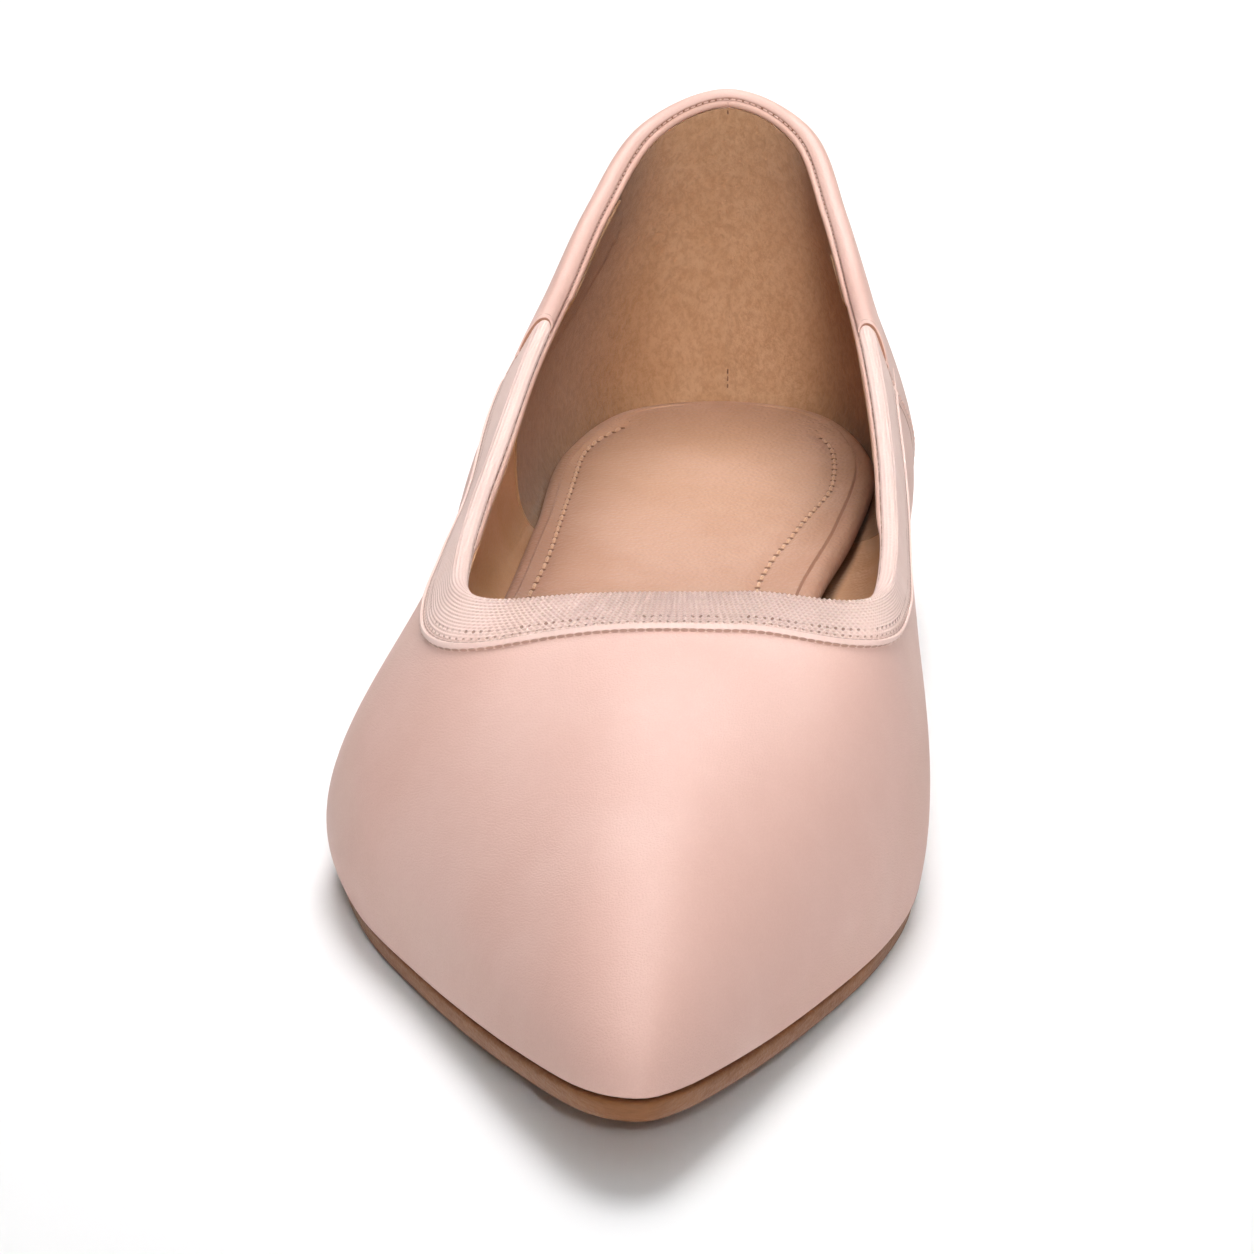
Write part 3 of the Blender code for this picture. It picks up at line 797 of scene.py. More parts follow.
def lining_depth(distance, over):
    """Depth of the lining's face: it covers the trim's inner leg and lies on the wall below it."""
    proud = TRIM_INSIDE + GAP + 0.00022
    return WALL + proud * (1 - ramp(distance, TRIM_INNER_LEG, TRIM_INNER_LEG * 8)) - over


def lining_tuck(place, distance):
    """How far the lining's top edge goes in behind the band, past the ends of the beads."""
    bare = ramp(place, 6.4, 7.2) * (1 - ramp(place, 17.0, 17.8))
    return 0.00036 * bare * (1 - ramp(distance, 0.0004, 0.0018))


def lining_point(place, share, over=0.0):
    """Inner face of the lining: straight down the wall, then in under the sock's edge."""
    length = wall_length(place)
    low = feather(place)
    out = outward(place)
    foot = low - out * (sock_inset(place) + 0.0008)
    foot.z = seat(foot.y) + WALL + GAP - 0.0002
    spread = sock_inset(place) - WALL
    turn_at = min(0.62, 0.30 + spread * 25)
    start = 0.0004
    fall = length * (1 - turn_at * 0.55) - start
    split = 0.72
    if share <= split:
        distance = start + fall * share / split
        return on_skin(place, distance, lining_tuck(place, distance) - lining_depth(distance, -over))
    begin = on_skin(place, start + fall, -lining_depth(start + fall, -over))
    before = on_skin(place, start + fall - 0.0008, -lining_depth(start + fall - 0.0008, -over))
    heading = (begin - before).normalized()
    reach = (foot - begin).length
    s = (share - split) / (1 - split)
    handles = (begin, begin + heading * reach * 0.45,
               foot + out * min(reach * 0.35, spread * 0.8 + 0.0004), foot)
    return on_curve(handles, s)


def make_lining(name, places, over, seam=None):
    """Thin lining from one place to another, from the fold down to the sock."""
    run = run_of(places)
    rows = 60
    sections, strip = [], []
    for k, place in enumerate(places):
        face = []
        for i in range(rows + 1):
            sunk = 0.0
            if seam is not None:
                sunk = 0.00028 * ridge(place, seam, 0.075) * (0.25 + 0.75 * ramp(i / rows, 0.50, 0.62))
            face.append(lining_point(place, i / rows, over - sunk))
        out = outward(place)
        back = []
        for i, point in enumerate(face):
            before, after = face[max(i - 1, 0)], face[min(i + 1, rows)]
            down = (after - before).normalized()
            side = Vector((0, 0, 1)).cross(out)
            away = side.cross(down).normalized()
            if away.dot(out) < 0 and abs(away.z) < 0.7:
                away = -away
            if away.z > 0.3:
                away = -away
            back.append(point + away * 0.0004)
        sections.append(face + back[::-1])
        length = wall_length(place)
        marks = [(run[k], length * (1 - i / rows)) for i in range(rows + 1)]
        strip.append(marks + marks[::-1])
    return loft(name, sections, strip)


def cross_plate(name, places, rim_of, cross, top_of, bottom_of, mark_of):
    """Plate between the outer and inner rims: both rims meet at its round ends.

    rim_of(place) gives the rim's profile from its lower inner point to its upper one.
    top_of(point, outer, inner) and bottom_of(point) set the height between the rims.
    """
    sections, strip = [], []
    for place in places:
        outer = rim_of(place)
        inner = rim_of(STATIONS - place)
        upper, lower = [], []
        for i in range(1, cross):
            share = i / cross
            point = outer[-1].lerp(inner[-1], share)
            upper.append(top_of(point, outer[-1], inner[-1]))
            point = outer[0].lerp(inner[0], share)
            lower.append(bottom_of(point))
        loop = outer + upper + inner[::-1] + lower[::-1]
        sections.append(loop)
        strip.append([mark_of(point) for point in loop])
    return loft(name, sections, strip, capped=False)


def plate_places(step=0.05):
    """Places from the heel to the toe, closer together at both ends."""
    count = round(12 / step)
    return [12 * (0.35 * (1 - cos(pi * i / count)) + 0.30 * i / count) for i in range(count + 1)]


# The sole's edge in section: inset from the outline, height over the tread
SOLE_RIM = [(0.0035, 0.0), (0.0013, 0.0), (0.00080, 0.00008), (0.00036, 0.00034), (0.00010, 0.00075),
            (0.0, 0.0012), (0.0, 0.0019), (0.00003, 0.0024), (0.00016, 0.00272), (0.00042, 0.00292),
            (0.0009, SOLE_THICKNESS), (0.0030, SOLE_THICKNESS)]


def make_outsole():
    """Leather sole with a rounded, inked edge."""
    def rim(place):
        out = outward(place)
        edge = feather(place) - out * (section_value("tuck", place) * SOLE_TUCK - SOLE_LEDGE)
        points = []
        for inset, height in SOLE_RIM:
            point = edge - out * inset
            point.z = sole_bottom(point.y) + height
            points.append(point)
        return points

    def top(point, *rims):
        return Vector((point.x, point.y, sole_bottom(point.y) + SOLE_THICKNESS))

    def bottom(point):
        return Vector((point.x, point.y, sole_bottom(point.y)))

    return cross_plate("sole", plate_places(0.04), rim, 16, top, bottom, lambda point: (point.x, point.y))


# Lines of stitches on the sock, in metres, from the heel to the toe
SOCK_LINE_OUTER = [(-0.0093, 0.1087), (-0.0128, 0.1030), (-0.0148, 0.0960), (-0.0156, 0.0830),
                   (-0.0164, 0.0690), (-0.0174, 0.0540), (-0.0198, 0.0390), (-0.0230, 0.0220),
                   (-0.0265, 0.0000), (-0.0285, -0.0240), (-0.0262, -0.0480), (-0.0190, -0.0720)]
SOCK_LINE_INNER = [(0.0222, 0.1060), (0.0238, 0.1020), (0.0247, 0.0940), (0.0243, 0.0830), (0.0216, 0.0730),
                   (0.0190, 0.0630), (0.0160, 0.0520), (0.0147, 0.0420), (0.0160, 0.0270), (0.0195, 0.0080),
                   (0.0240, -0.0160), (0.0262, -0.0400), (0.0230, -0.0620), (0.0165, -0.0800)]


def smooth_path(points, pitch):
    """Points about pitch apart on a smooth line through plan points."""
    fine = []
    last = len(points) - 1
    for i in range(last):
        for k in range(24):
            share = k / 24
            fine.append(Vector([hermite(points[max(i - 1, 0)][a], points[i][a], points[i + 1][a],
                                        points[min(i + 2, last)][a], share) for a in (0, 1)]))
    fine.append(Vector(points[last]))
    path = [fine[0]]
    left = pitch
    for a, b in zip(fine, fine[1:]):
        length = (b - a).length
        done = 0.0
        while length - done >= left:
            done += left
            path.append(a.lerp(b, done / length))
            left = pitch
        left -= length - done
    return path


sock_paths = [smooth_path(line, SOCK_PITCH / 2) for line in (SOCK_LINE_OUTER, SOCK_LINE_INNER)]


@lru_cache(maxsize=None)
def sock_row(x, y):
    """Length along the nearer row of stitches, and the signed distance from it."""
    here = Vector((x, y))
    best = (1.0, 0.0, 0.0)
    for path in sock_paths:
        k = min(range(len(path)), key=lambda i: (path[i] - here).length_squared)
        a, b = path[max(k - 1, 0)], path[min(k + 1, len(path) - 1)]
        heading = (b - a).normalized()
        away = here - path[k]
        along = k * SOCK_PITCH / 2 + away.dot(heading)
        side = away.x * heading.y - away.y * heading.x
        before_start = k == 0 and away.dot(heading) < -0.0004
        past_end = k == len(path) - 1 and away.dot(heading) > 0.0004
        if before_start or past_end:
            side = away.length if side >= 0 else -away.length
        if away.length < best[0]:
            best = (away.length, along + SOCK_PITCH / 2, side)
    return best


def sock_mark(point):
    """The nearer row for the top; for the rolled side, 0.02 and the depth below the top."""
    row = sock_row(round(point.x, 6), round(point.y, 6))
    depth = seat(point.y) + WALL + GAP + INSOLE_THICKNESS - point.z
    if depth < 0.0008:
        return row[1:]
    return row[1], (0.02 + depth if row[2] >= 0 else -0.02 - depth)


def sock_dip(x, y):
    """How deep the stitches pull the sock's cover down."""
    return 0.00050 * (1 - ramp(sock_row(round(x, 6), round(y, 6))[0], 0.0, 0.0022))


def sock_top(x, y, edge_share):
    """Height of the sock's cover."""
    crown = 0.00035 * (1 - edge_share ** 4)
    return seat(y) + WALL + GAP + INSOLE_THICKNESS - 0.0002 + crown - sock_dip(x, y)


# The channel inside the sock's rolled edge: step inwards, share of the channel's depth
SOCK_CHANNEL = [(0.25, 0.0), (0.78, 0.0), (0.92, 0.7), (1.0, 1.0), (1.08, 0.7), (1.22, 0.0), (1.8, 0.0)]


def make_sock():
    """Padded sock: a soft cover with a rolled side and two rows of stitches."""
    def rim(place):
        out = outward(place)
        edge = sock_edge(place)
        inner_side = ramp(place, 13.0, 15.0) * (1 - ramp(place, 21.6, 22.8))
        outer_side = ramp(place, 1.6, 2.6) * (1 - ramp(place, 9.0, 10.0))
        strip_wide = 0.0010 + 0.0016 * inner_side
        points = []
        half = INSOLE_THICKNESS / 2
        for i in range(15):
            turn = pi * i / 14
            inset = half * (1 - sin(turn)) * 0.9
            point = edge - out * (inset - 0.0003)
            height = half - cos(turn) * half
            point.z = seat(point.y) + WALL + GAP + height - 0.0001
            points.append(point)
        for step, dip in SOCK_CHANNEL:
            point = edge - out * (half * 0.9 - 0.0003 + strip_wide * step * 0.5)
            fall = 0.00055 * dip * max(inner_side, 0.6 * outer_side)
            point.z = seat(point.y) + WALL + GAP + INSOLE_THICKNESS - 0.0001 + 0.00008 * step - fall
            points.append(point)
        return points

    def top(point, a, b):
        share = abs(2 * (point - a).length / max((b - a).length, 1e-6) - 1)
        return Vector((point.x, point.y, sock_top(point.x, point.y, share) + 0.00005))

    def bottom(point):
        return Vector((point.x, point.y, seat(point.y) + WALL + GAP - 0.0001))

    return cross_plate("sock", plate_places(0.035), rim, 72, top, bottom, sock_mark)


def make_heel():
    """Low block under the heel seat, copied from its CAD solid and eased along its edges."""
    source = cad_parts["heel"]
    mesh = source.data.copy()
    mesh.name = "heel_block"
    mesh.materials.clear()
    piece = bpy.data.objects.new("heel_block", mesh)
    bpy.context.scene.collection.objects.link(piece)
    bpy.context.view_layer.objects.active = piece
    piece.select_set(True)
    bpy.ops.object.mode_set(mode="EDIT")
    bpy.ops.mesh.select_all(action="SELECT")
    bpy.ops.mesh.remove_doubles(threshold=1e-5)
    bpy.ops.mesh.tris_convert_to_quads(face_threshold=radians(30), shape_threshold=radians(40))
    bpy.ops.mesh.normals_make_consistent(inside=False)
    bpy.ops.object.mode_set(mode="OBJECT")
    bevel = piece.modifiers.new("eased_edges", "BEVEL")
    bevel.width = 0.0005
    bevel.segments = 3
    bevel.limit_method = "ANGLE"
    bevel.angle_limit = radians(50)
    bpy.ops.object.modifier_apply(modifier=bevel.name)
    bpy.ops.object.shade_smooth_by_angle(angle=radians(40))
    piece.select_set(False)
    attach(piece, "root")
    return piece


# Stitches

def make_one_stitch():
    """One thread stitch, 1 long along X: a rounded bar whose ends go down into the holes."""
    bpy.ops.mesh.primitive_cylinder_add(vertices=8, radius=0.5, depth=1.0, location=(0, 0, 0),
                                        rotation=(0, pi / 2, 0))
    stitch = bpy.context.object
    bpy.ops.object.transform_apply(location=True, rotation=True, scale=True)
    bpy.ops.object.mode_set(mode="EDIT")
    for x in (-0.30, 0.0, 0.30):
        bpy.ops.mesh.select_all(action="SELECT")
        bpy.ops.mesh.bisect(plane_co=(x, 0, 0), plane_no=(1, 0, 0))
    bpy.ops.object.mode_set(mode="OBJECT")
    for vertex in stitch.data.vertices:
        far = abs(vertex.co.x) * 2
        if far > 0.9:
            vertex.co.y *= 0.55
            vertex.co.z = vertex.co.z * 0.55 - 0.55
        elif far > 0.5:
            vertex.co.y *= 0.92
            vertex.co.z = vertex.co.z * 0.92 - 0.08
    corners = [vertex.co.copy() for vertex in stitch.data.vertices]
    faces = [list(face.vertices) for face in stitch.data.polygons]
    bpy.data.objects.remove(stitch)
    return corners, faces


one_stitch = make_one_stitch()


def sew(name, spots):
    """Join one stitch for each spot: middle, direction, way up, length and thickness."""
    corners, faces = one_stitch
    bm = bmesh.new()
    for middle, along, up, length, thick in spots:
        along = along.normalized()
        up = (up - along * up.dot(along)).normalized()
        side = up.cross(along)
        made = [bm.verts.new(middle + along * co.x * length + side * co.y * thick + up * co.z * thick)
                for co in corners]
        for face in faces:
            bm.faces.new([made[i] for i in face])
    return place_mesh(name, bm)


def row_on_wall(places, distance, lift, length, thick):
    """Spots for stitches along the wall, this far down it, between each place and the next."""
    spots = []
    for a, b in zip(places, places[1:]):
        one = on_skin(a, distance, lift)
        two = on_skin(b, distance, lift)
        middle_place = (a + b) / 2
        up = wall_normal(middle_place, t_below(middle_place, distance))
        spots.append(((one + two) / 2, two - one, up, length, thick))
    return spots


def make_band_stitches():
    """Rows that sew the band: loops inside its cord, and on the sides also one outside it."""
    width = BAND_WIDTH + TRIM_LAP
    spots = []
    for start, end in ((SEAM_OUTER + 0.25, 7.9), (15.9, SEAM_INNER - 0.25)):
        places = even_places(start, end, STITCH_PITCH, width)
        spots += row_on_wall(places, width + 0.00004, 0.00016, STITCH_LENGTH, 0.00038)
    loop_row = width - 0.00160
    places = even_places(SEAM_OUTER + 0.25, SEAM_INNER - 0.25, LOOP_PITCH, loop_row)
    spots += row_on_wall(places, loop_row, TRIM_PROUD - 0.00014, RIB_PITCH * 1.10, 0.00030)
    return sew("band_stitches", spots)


def make_seam_stitches():
    """Row behind the edge of each side seam."""
    spots = []
    length = wall_length(3.0)
    steps = 24
    behind = 0.036
    for inner in (False, True):
        line = []
        for i in range(steps + 1):
            distance = 0.0062 + (length - 0.0085) * i / steps
            place = seam_place(distance, False) - behind
            if inner:
                place = STATIONS - place
            up = wall_normal(place, t_below(place, distance))
            line.append((on_skin(place, distance, QUARTER_STEP - 0.00004), up))
        done = [0.0]
        for a, b in zip(line, line[1:]):
            done.append(done[-1] + (b[0] - a[0]).length)
        count = int(done[-1] / STITCH_PITCH)
        for n in range(count):
            want = (n + 0.5) * STITCH_PITCH
            k = max(i for i in range(steps) if done[i] <= want)
            share = (want - done[k]) / (done[k + 1] - done[k])
            middle = line[k][0].lerp(line[k + 1][0], share)
            spots.append((middle, line[k + 1][0] - line[k][0], line[k][1], STITCH_LENGTH, 0.00030))
    return sew("seam_stitches", spots)


def bead_groove(place, over=0.0):
    """Point in the groove between the fold and the bead, or this far over it."""
    return fold_point(place, GROOVE_TURN, FOLD_DEPTH, FOLD_RADIUS - 0.00016 + over)


def make_collar_stitches():
    """Small stitches in the groove between the roll and the bead."""
    places = even_places(STATIONS - BEAD_JOINT, STATIONS + BEAD_JOINT, 0.0012)
    spots = []
    for a, b in zip(places, places[1:]):
        one = bead_groove(a)
        two = bead_groove(b)
        middle_place = (a + b) / 2
        up = bead_groove(middle_place, 1.0) - bead_groove(middle_place)
        spots.append(((one + two) / 2, two - one, up, 0.00080, 0.00024))
    return sew("collar_stitches", spots)


def make_sock_stitches():
    """The two rows on the sock."""
    spots = []
    for line in (SOCK_LINE_OUTER, SOCK_LINE_INNER):
        path = smooth_path(line, SOCK_PITCH)
        for a, b in zip(path, path[1:]):
            middle = (a + b) / 2
            z = sock_top(middle.x, middle.y, 0.6) + 0.00013
            rise = sock_top(b.x, b.y, 0.6) - sock_top(a.x, a.y, 0.6)
            along = Vector((b.x - a.x, b.y - a.y, rise))
            spots.append((Vector((middle.x, middle.y, z)), along, Vector((0, 0, 1)), 0.00135, 0.00054))
    return sew("sock_stitches", spots)


def make_lining_stitches():
    """Short row low on the counter lining's middle seam, and the tack at its top."""
    length = wall_length(0.0)
    spots = []
    for distance in [0.0011] + [length - 0.0088 + 0.0012 * i for i in range(4)]:
        t = t_below(0.0, distance)
        one = on_skin(0.0, distance, -lining_depth(distance, 0.0) - 0.0003)
        two = on_skin(0.0, distance + 0.0006, -lining_depth(distance + 0.0006, 0.0) - 0.0003)
        spots.append((one, two - one, -wall_normal(0.0, t), 0.00085, 0.00030))
    return sew("lining_stitches", spots)


# Material helpers

def linear(code):
    """Linear colour of a six-digit code."""
    parts = [int(code[i:i + 2], 16) / 255 for i in (0, 2, 4)]
    return tuple(((c + 0.055) / 1.055) ** 2.4 if c > 0.04045 else c / 12.92 for c in parts) + (1.0,)


def node(tree, kind, inputs=None, **settings):
    """Add a node, set it and feed its inputs with values or sockets."""
    made = tree.nodes.new(kind)
    for key, value in settings.items():
        setattr(made, key, value)
    for key, value in (inputs or {}).items():
        socket = made.inputs[key]
        if isinstance(value, bpy.types.NodeSocket):
            tree.links.new(value, socket)
        else:
            socket.default_value = value
    return made


def result(tree, operation, a, b=0.0, c=None):
    """Result of a Math node."""
    inputs = {0: a, 1: b}
    if c is not None:
        inputs[2] = c
    return node(tree, "ShaderNodeMath", inputs, operation=operation).outputs[0]


def span(tree, value, low, high, to_low=0.0, to_high=1.0, smooth=True):
    """Result of a Map Range node."""
    kind = "SMOOTHSTEP" if smooth else "LINEAR"
    return node(tree, "ShaderNodeMapRange", {0: value, 1: low, 2: high, 3: to_low, 4: to_high},
                interpolation_type=kind).outputs[0]


def noise(tree, place, scale, detail, **more):
    """Value of a Noise Texture node."""
    inputs = {"Vector": place, "Scale": scale, "Detail": detail, **more}
    return node(tree, "ShaderNodeTexNoise", inputs).outputs[0]


def wave(tree, value, pitch):
    """Cosine wave that repeats each pitch."""
    return result(tree, "COSINE", result(tree, "MULTIPLY", value, 2 * pi / pitch))


def parts_of(tree, vector):
    """Outputs for the three parts of a vector."""
    return node(tree, "ShaderNodeSeparateXYZ", {0: vector}).outputs


def blend(tree, share, a, b, kind="MIX"):
    """Colour between a and b."""
    inputs = {0: share, 6: a, 7: b}
    return node(tree, "ShaderNodeMix", inputs, data_type="RGBA", blend_type=kind).outputs[2]


def start_group(name, inputs, outputs):
    """Node group with named sockets. inputs are (name, kind, default)."""
    tree = bpy.data.node_groups.new(name, "ShaderNodeTree")
    for label, kind, default in inputs:
        socket = tree.interface.new_socket(name=label, in_out="INPUT", socket_type=kind)
        if default is not None:
            socket.default_value = default
    for label, kind in outputs:
        tree.interface.new_socket(name=label, in_out="OUTPUT", socket_type=kind)
    return tree, tree.nodes.new("NodeGroupInput").outputs, tree.nodes.new("NodeGroupOutput").inputs


def make_grain_group():
    """Leather grain: small pebbles with fine pores, and a slow change of tone."""
    tree, given, put = start_group(
        "leather grain",
        [("Place", "NodeSocketVector", None), ("Cells", "NodeSocketFloat", 2600.0),
         ("Patches", "NodeSocketFloat", 30.0)],
        [("Height", "NodeSocketFloat"), ("Tone", "NodeSocketFloat")])
    drift = node(tree, "ShaderNodeTexNoise", {"Vector": given["Place"], "Scale": 420.0, "Detail": 2.0})
    moved = node(tree, "ShaderNodeVectorMath", {0: drift.outputs["Color"], "Scale": 0.0006},
                 operation="SCALE")
    place = node(tree, "ShaderNodeVectorMath", {0: given["Place"], 1: moved.outputs[0]},
                 operation="ADD").outputs[0]
    cells = node(tree, "ShaderNodeTexVoronoi", {"Vector": place, "Scale": given["Cells"], "Smoothness": 0.6},
                 feature="SMOOTH_F1")
    pebbles = span(tree, cells.outputs["Distance"], 0.1, 0.75, 1.0, 0.0)
    pores = noise(tree, place, result(tree, "MULTIPLY", given["Cells"], 1.7), 3.0, Roughness=0.6)
    waves = noise(tree, place, result(tree, "MULTIPLY", given["Cells"], 0.12), 2.0)
    height = result(tree, "MULTIPLY_ADD", pores, 0.7, pebbles)
    height = result(tree, "MULTIPLY_ADD", waves, 1.2, height)
    tree.links.new(height, put["Height"])
    tone = noise(tree, given["Place"], given["Patches"], 4.0, Roughness=0.55)
    tree.links.new(span(tree, tone, 0.3, 0.7), put["Tone"])
    return tree


def make_nap_group():
    """Brushed fibres: short streaks that lie over each other, and patches brushed two ways."""
    tree, given, put = start_group(
        "nap",
        [("Place", "NodeSocketVector", None), ("Fibres", "NodeSocketFloat", 1800.0),
         ("Patches", "NodeSocketFloat", 90.0)],
        [("Height", "NodeSocketFloat"), ("Tone", "NodeSocketFloat")])
    stretched = node(tree, "ShaderNodeMapping", {"Vector": given["Place"], "Rotation": (0.4, 0.7, 0.3),
                                                 "Scale": (1.0, 1.0, 0.75)}).outputs[0]
    fibres = noise(tree, stretched, given["Fibres"], 4.0, Roughness=0.7, Distortion=0.2)
    clumps = noise(tree, stretched, result(tree, "MULTIPLY", given["Fibres"], 0.38), 3.0, Distortion=0.4)
    tree.links.new(result(tree, "MULTIPLY_ADD", clumps, 0.8, fibres), put["Height"])
    tone_share = noise(tree, given["Place"], given["Patches"], 5.0, Roughness=0.65, Distortion=0.3)
    mixed = result(tree, "MULTIPLY_ADD", clumps, 0.5, tone_share)
    tree.links.new(span(tree, mixed, 0.35, 1.15), put["Tone"])
    return tree


def make_hole_group():
    """Row of needle holes along a strip: 1 inside a hole."""
    tree, given, put = start_group(
        "needle holes",
        [("Strip", "NodeSocketVector", None), ("Row", "NodeSocketFloat", 0.005),
         ("Pitch", "NodeSocketFloat", 0.0012), ("Long", "NodeSocketFloat", 0.0004),
         ("Wide", "NodeSocketFloat", 0.0003)],
        [("Mask", "NodeSocketFloat")])
    split = parts_of(tree, given["Strip"])
    turns = result(tree, "DIVIDE", split[0], given["Pitch"])
    part = result(tree, "SUBTRACT", result(tree, "FRACT", result(tree, "ADD", turns, 500.0)), 0.5)
    along = result(tree, "DIVIDE", result(tree, "MULTIPLY", part, given["Pitch"]), given["Long"])
    across = result(tree, "DIVIDE", result(tree, "SUBTRACT", split[1], given["Row"]), given["Wide"])
    squares = result(tree, "ADD", result(tree, "MULTIPLY", along, along),
                     result(tree, "MULTIPLY", across, across))
    far = result(tree, "SQRT", squares)
    tree.links.new(span(tree, far, 0.35, 0.65, 1.0, 0.0), put["Mask"])
    return tree


grain_group = make_grain_group()
nap_group = make_nap_group()
hole_group = make_hole_group()


def start_material(name, **shader_values):
    """Material with a Principled shader: gives its tree and the shader."""
    material = bpy.data.materials.new(name)
    material.use_nodes = True
    tree = material.node_tree
    tree.nodes.clear()
    shader = tree.nodes.new("ShaderNodeBsdfPrincipled")
    output = tree.nodes.new("ShaderNodeOutputMaterial")
    tree.links.new(shader.outputs[0], output.inputs[0])
    for key, value in shader_values.items():
        shader.inputs[key.replace("_", " ")].default_value = value
    return material, tree, shader


def place_of(tree):
    """Point of the piece, in metres."""
    return node(tree, "ShaderNodeTexCoord").outputs["Object"]


def strip_of(tree):
    """Place along and across the piece's strip, in metres."""
    return node(tree, "ShaderNodeUVMap", uv_map="strip").outputs[0]


def use_group(tree, group, inputs):
    """Add a node group and give its outputs."""
    return node(tree, "ShaderNodeGroup", inputs, node_tree=group).outputs


def hole_row(tree, strip, row, pitch, long, wide):
    """Mask of a row of holes: its place across the strip, its pitch and the size of a hole."""
    inputs = {"Strip": strip, "Row": row, "Pitch": pitch, "Long": long, "Wide": wide}
    return use_group(tree, hole_group, inputs)["Mask"]


def bump_up(tree, shader, height, distance):
    """Raise the surface by a height whose unit is this distance."""
    made = node(tree, "ShaderNodeBump", {"Height": height, "Distance": distance, "Strength": 1.0})
    tree.links.new(made.outputs[0], shader.inputs["Normal"])


def painted_gap_shade(tree, colour, value, low, high):
    """Colour darkened from high down to low towards the brown 4A2E1D: painted shade in a deep gap."""
    return blend(tree, span(tree, value, low, high, 0.85, 0.0), colour, linear("4A2E1D"))


def painted_groove_shade(tree, v):
    """Painted shade: a dark line in the groove beside the bead, broken where its small stitches pull."""
    off = result(tree, "ABSOLUTE", result(tree, "ADD", v, FOLD_RADIUS * GROOVE_TURN))
    line = span(tree, off, 0.00010, 0.00034, 1.0, 0.0)
    broken = noise(tree, place_of(tree), 900.0, 1.0)
    return result(tree, "MULTIPLY", line, span(tree, broken, 0.35, 0.60, 0.55, 1.0))


# Materials

def make_leather(name, light, deep, rough, cells=2600.0, depth=0.00006, patches=30.0, specular=0.42,
                 raw_edge=None, groove_shade_line=False, painted_shade_below=False):
    """Finished leather in one colour, with grain, pores and a slow change of tone and gloss, and if asked
    painted shade in the gap at a lining's foot or in the groove beside a bead.
    """
    material, tree, shader = start_material(name, Specular_IOR_Level=specular)
    grain = use_group(tree, grain_group, {"Place": place_of(tree), "Cells": cells, "Patches": patches})
    colour = blend(tree, grain["Tone"], linear(light), linear(deep))
    low = span(tree, grain["Height"], 0.9, 1.6, 0.0, 0.16)
    colour = blend(tree, low, colour, blend(tree, 1.0, colour, (0.86, 0.78, 0.74, 1.0), "MULTIPLY"))
    height = grain["Height"]
    # painted shade: the lining darkens near its foot, in the gap under the sock's edge
    if painted_shade_below:
        foot = parts_of(tree, strip_of(tree))[1]
        colour = painted_gap_shade(tree, colour, foot, 0.0010, 0.0024)
    if raw_edge:
        split = parts_of(tree, strip_of(tree))
        turned = node(tree, "ShaderNodeCombineXYZ", {0: split[1], 1: split[0]}).outputs[0]
        edge = span(tree, split[0], 0.00004, 0.00016, 1.0, 0.0)
        row = hole_row(tree, turned, 0.00100, 0.0012, 0.0010, 0.00026)
        dark = result(tree, "MAXIMUM", edge, result(tree, "MULTIPLY", row, 0.5))
        # painted shade in the groove between the roll and the bead
        if groove_shade_line:
            dark = result(tree, "MAXIMUM", dark, painted_groove_shade(tree, split[1]))
        colour = blend(tree, dark, colour, linear(raw_edge))
        height = result(tree, "MULTIPLY_ADD", dark, -4.0, height)
    tree.links.new(colour, shader.inputs["Base Color"])
    roughness = span(tree, grain["Tone"], 0.0, 1.0, rough - 0.03, rough + 0.05)
    tree.links.new(roughness, shader.inputs["Roughness"])
    bump_up(tree, shader, height, depth)
    return material


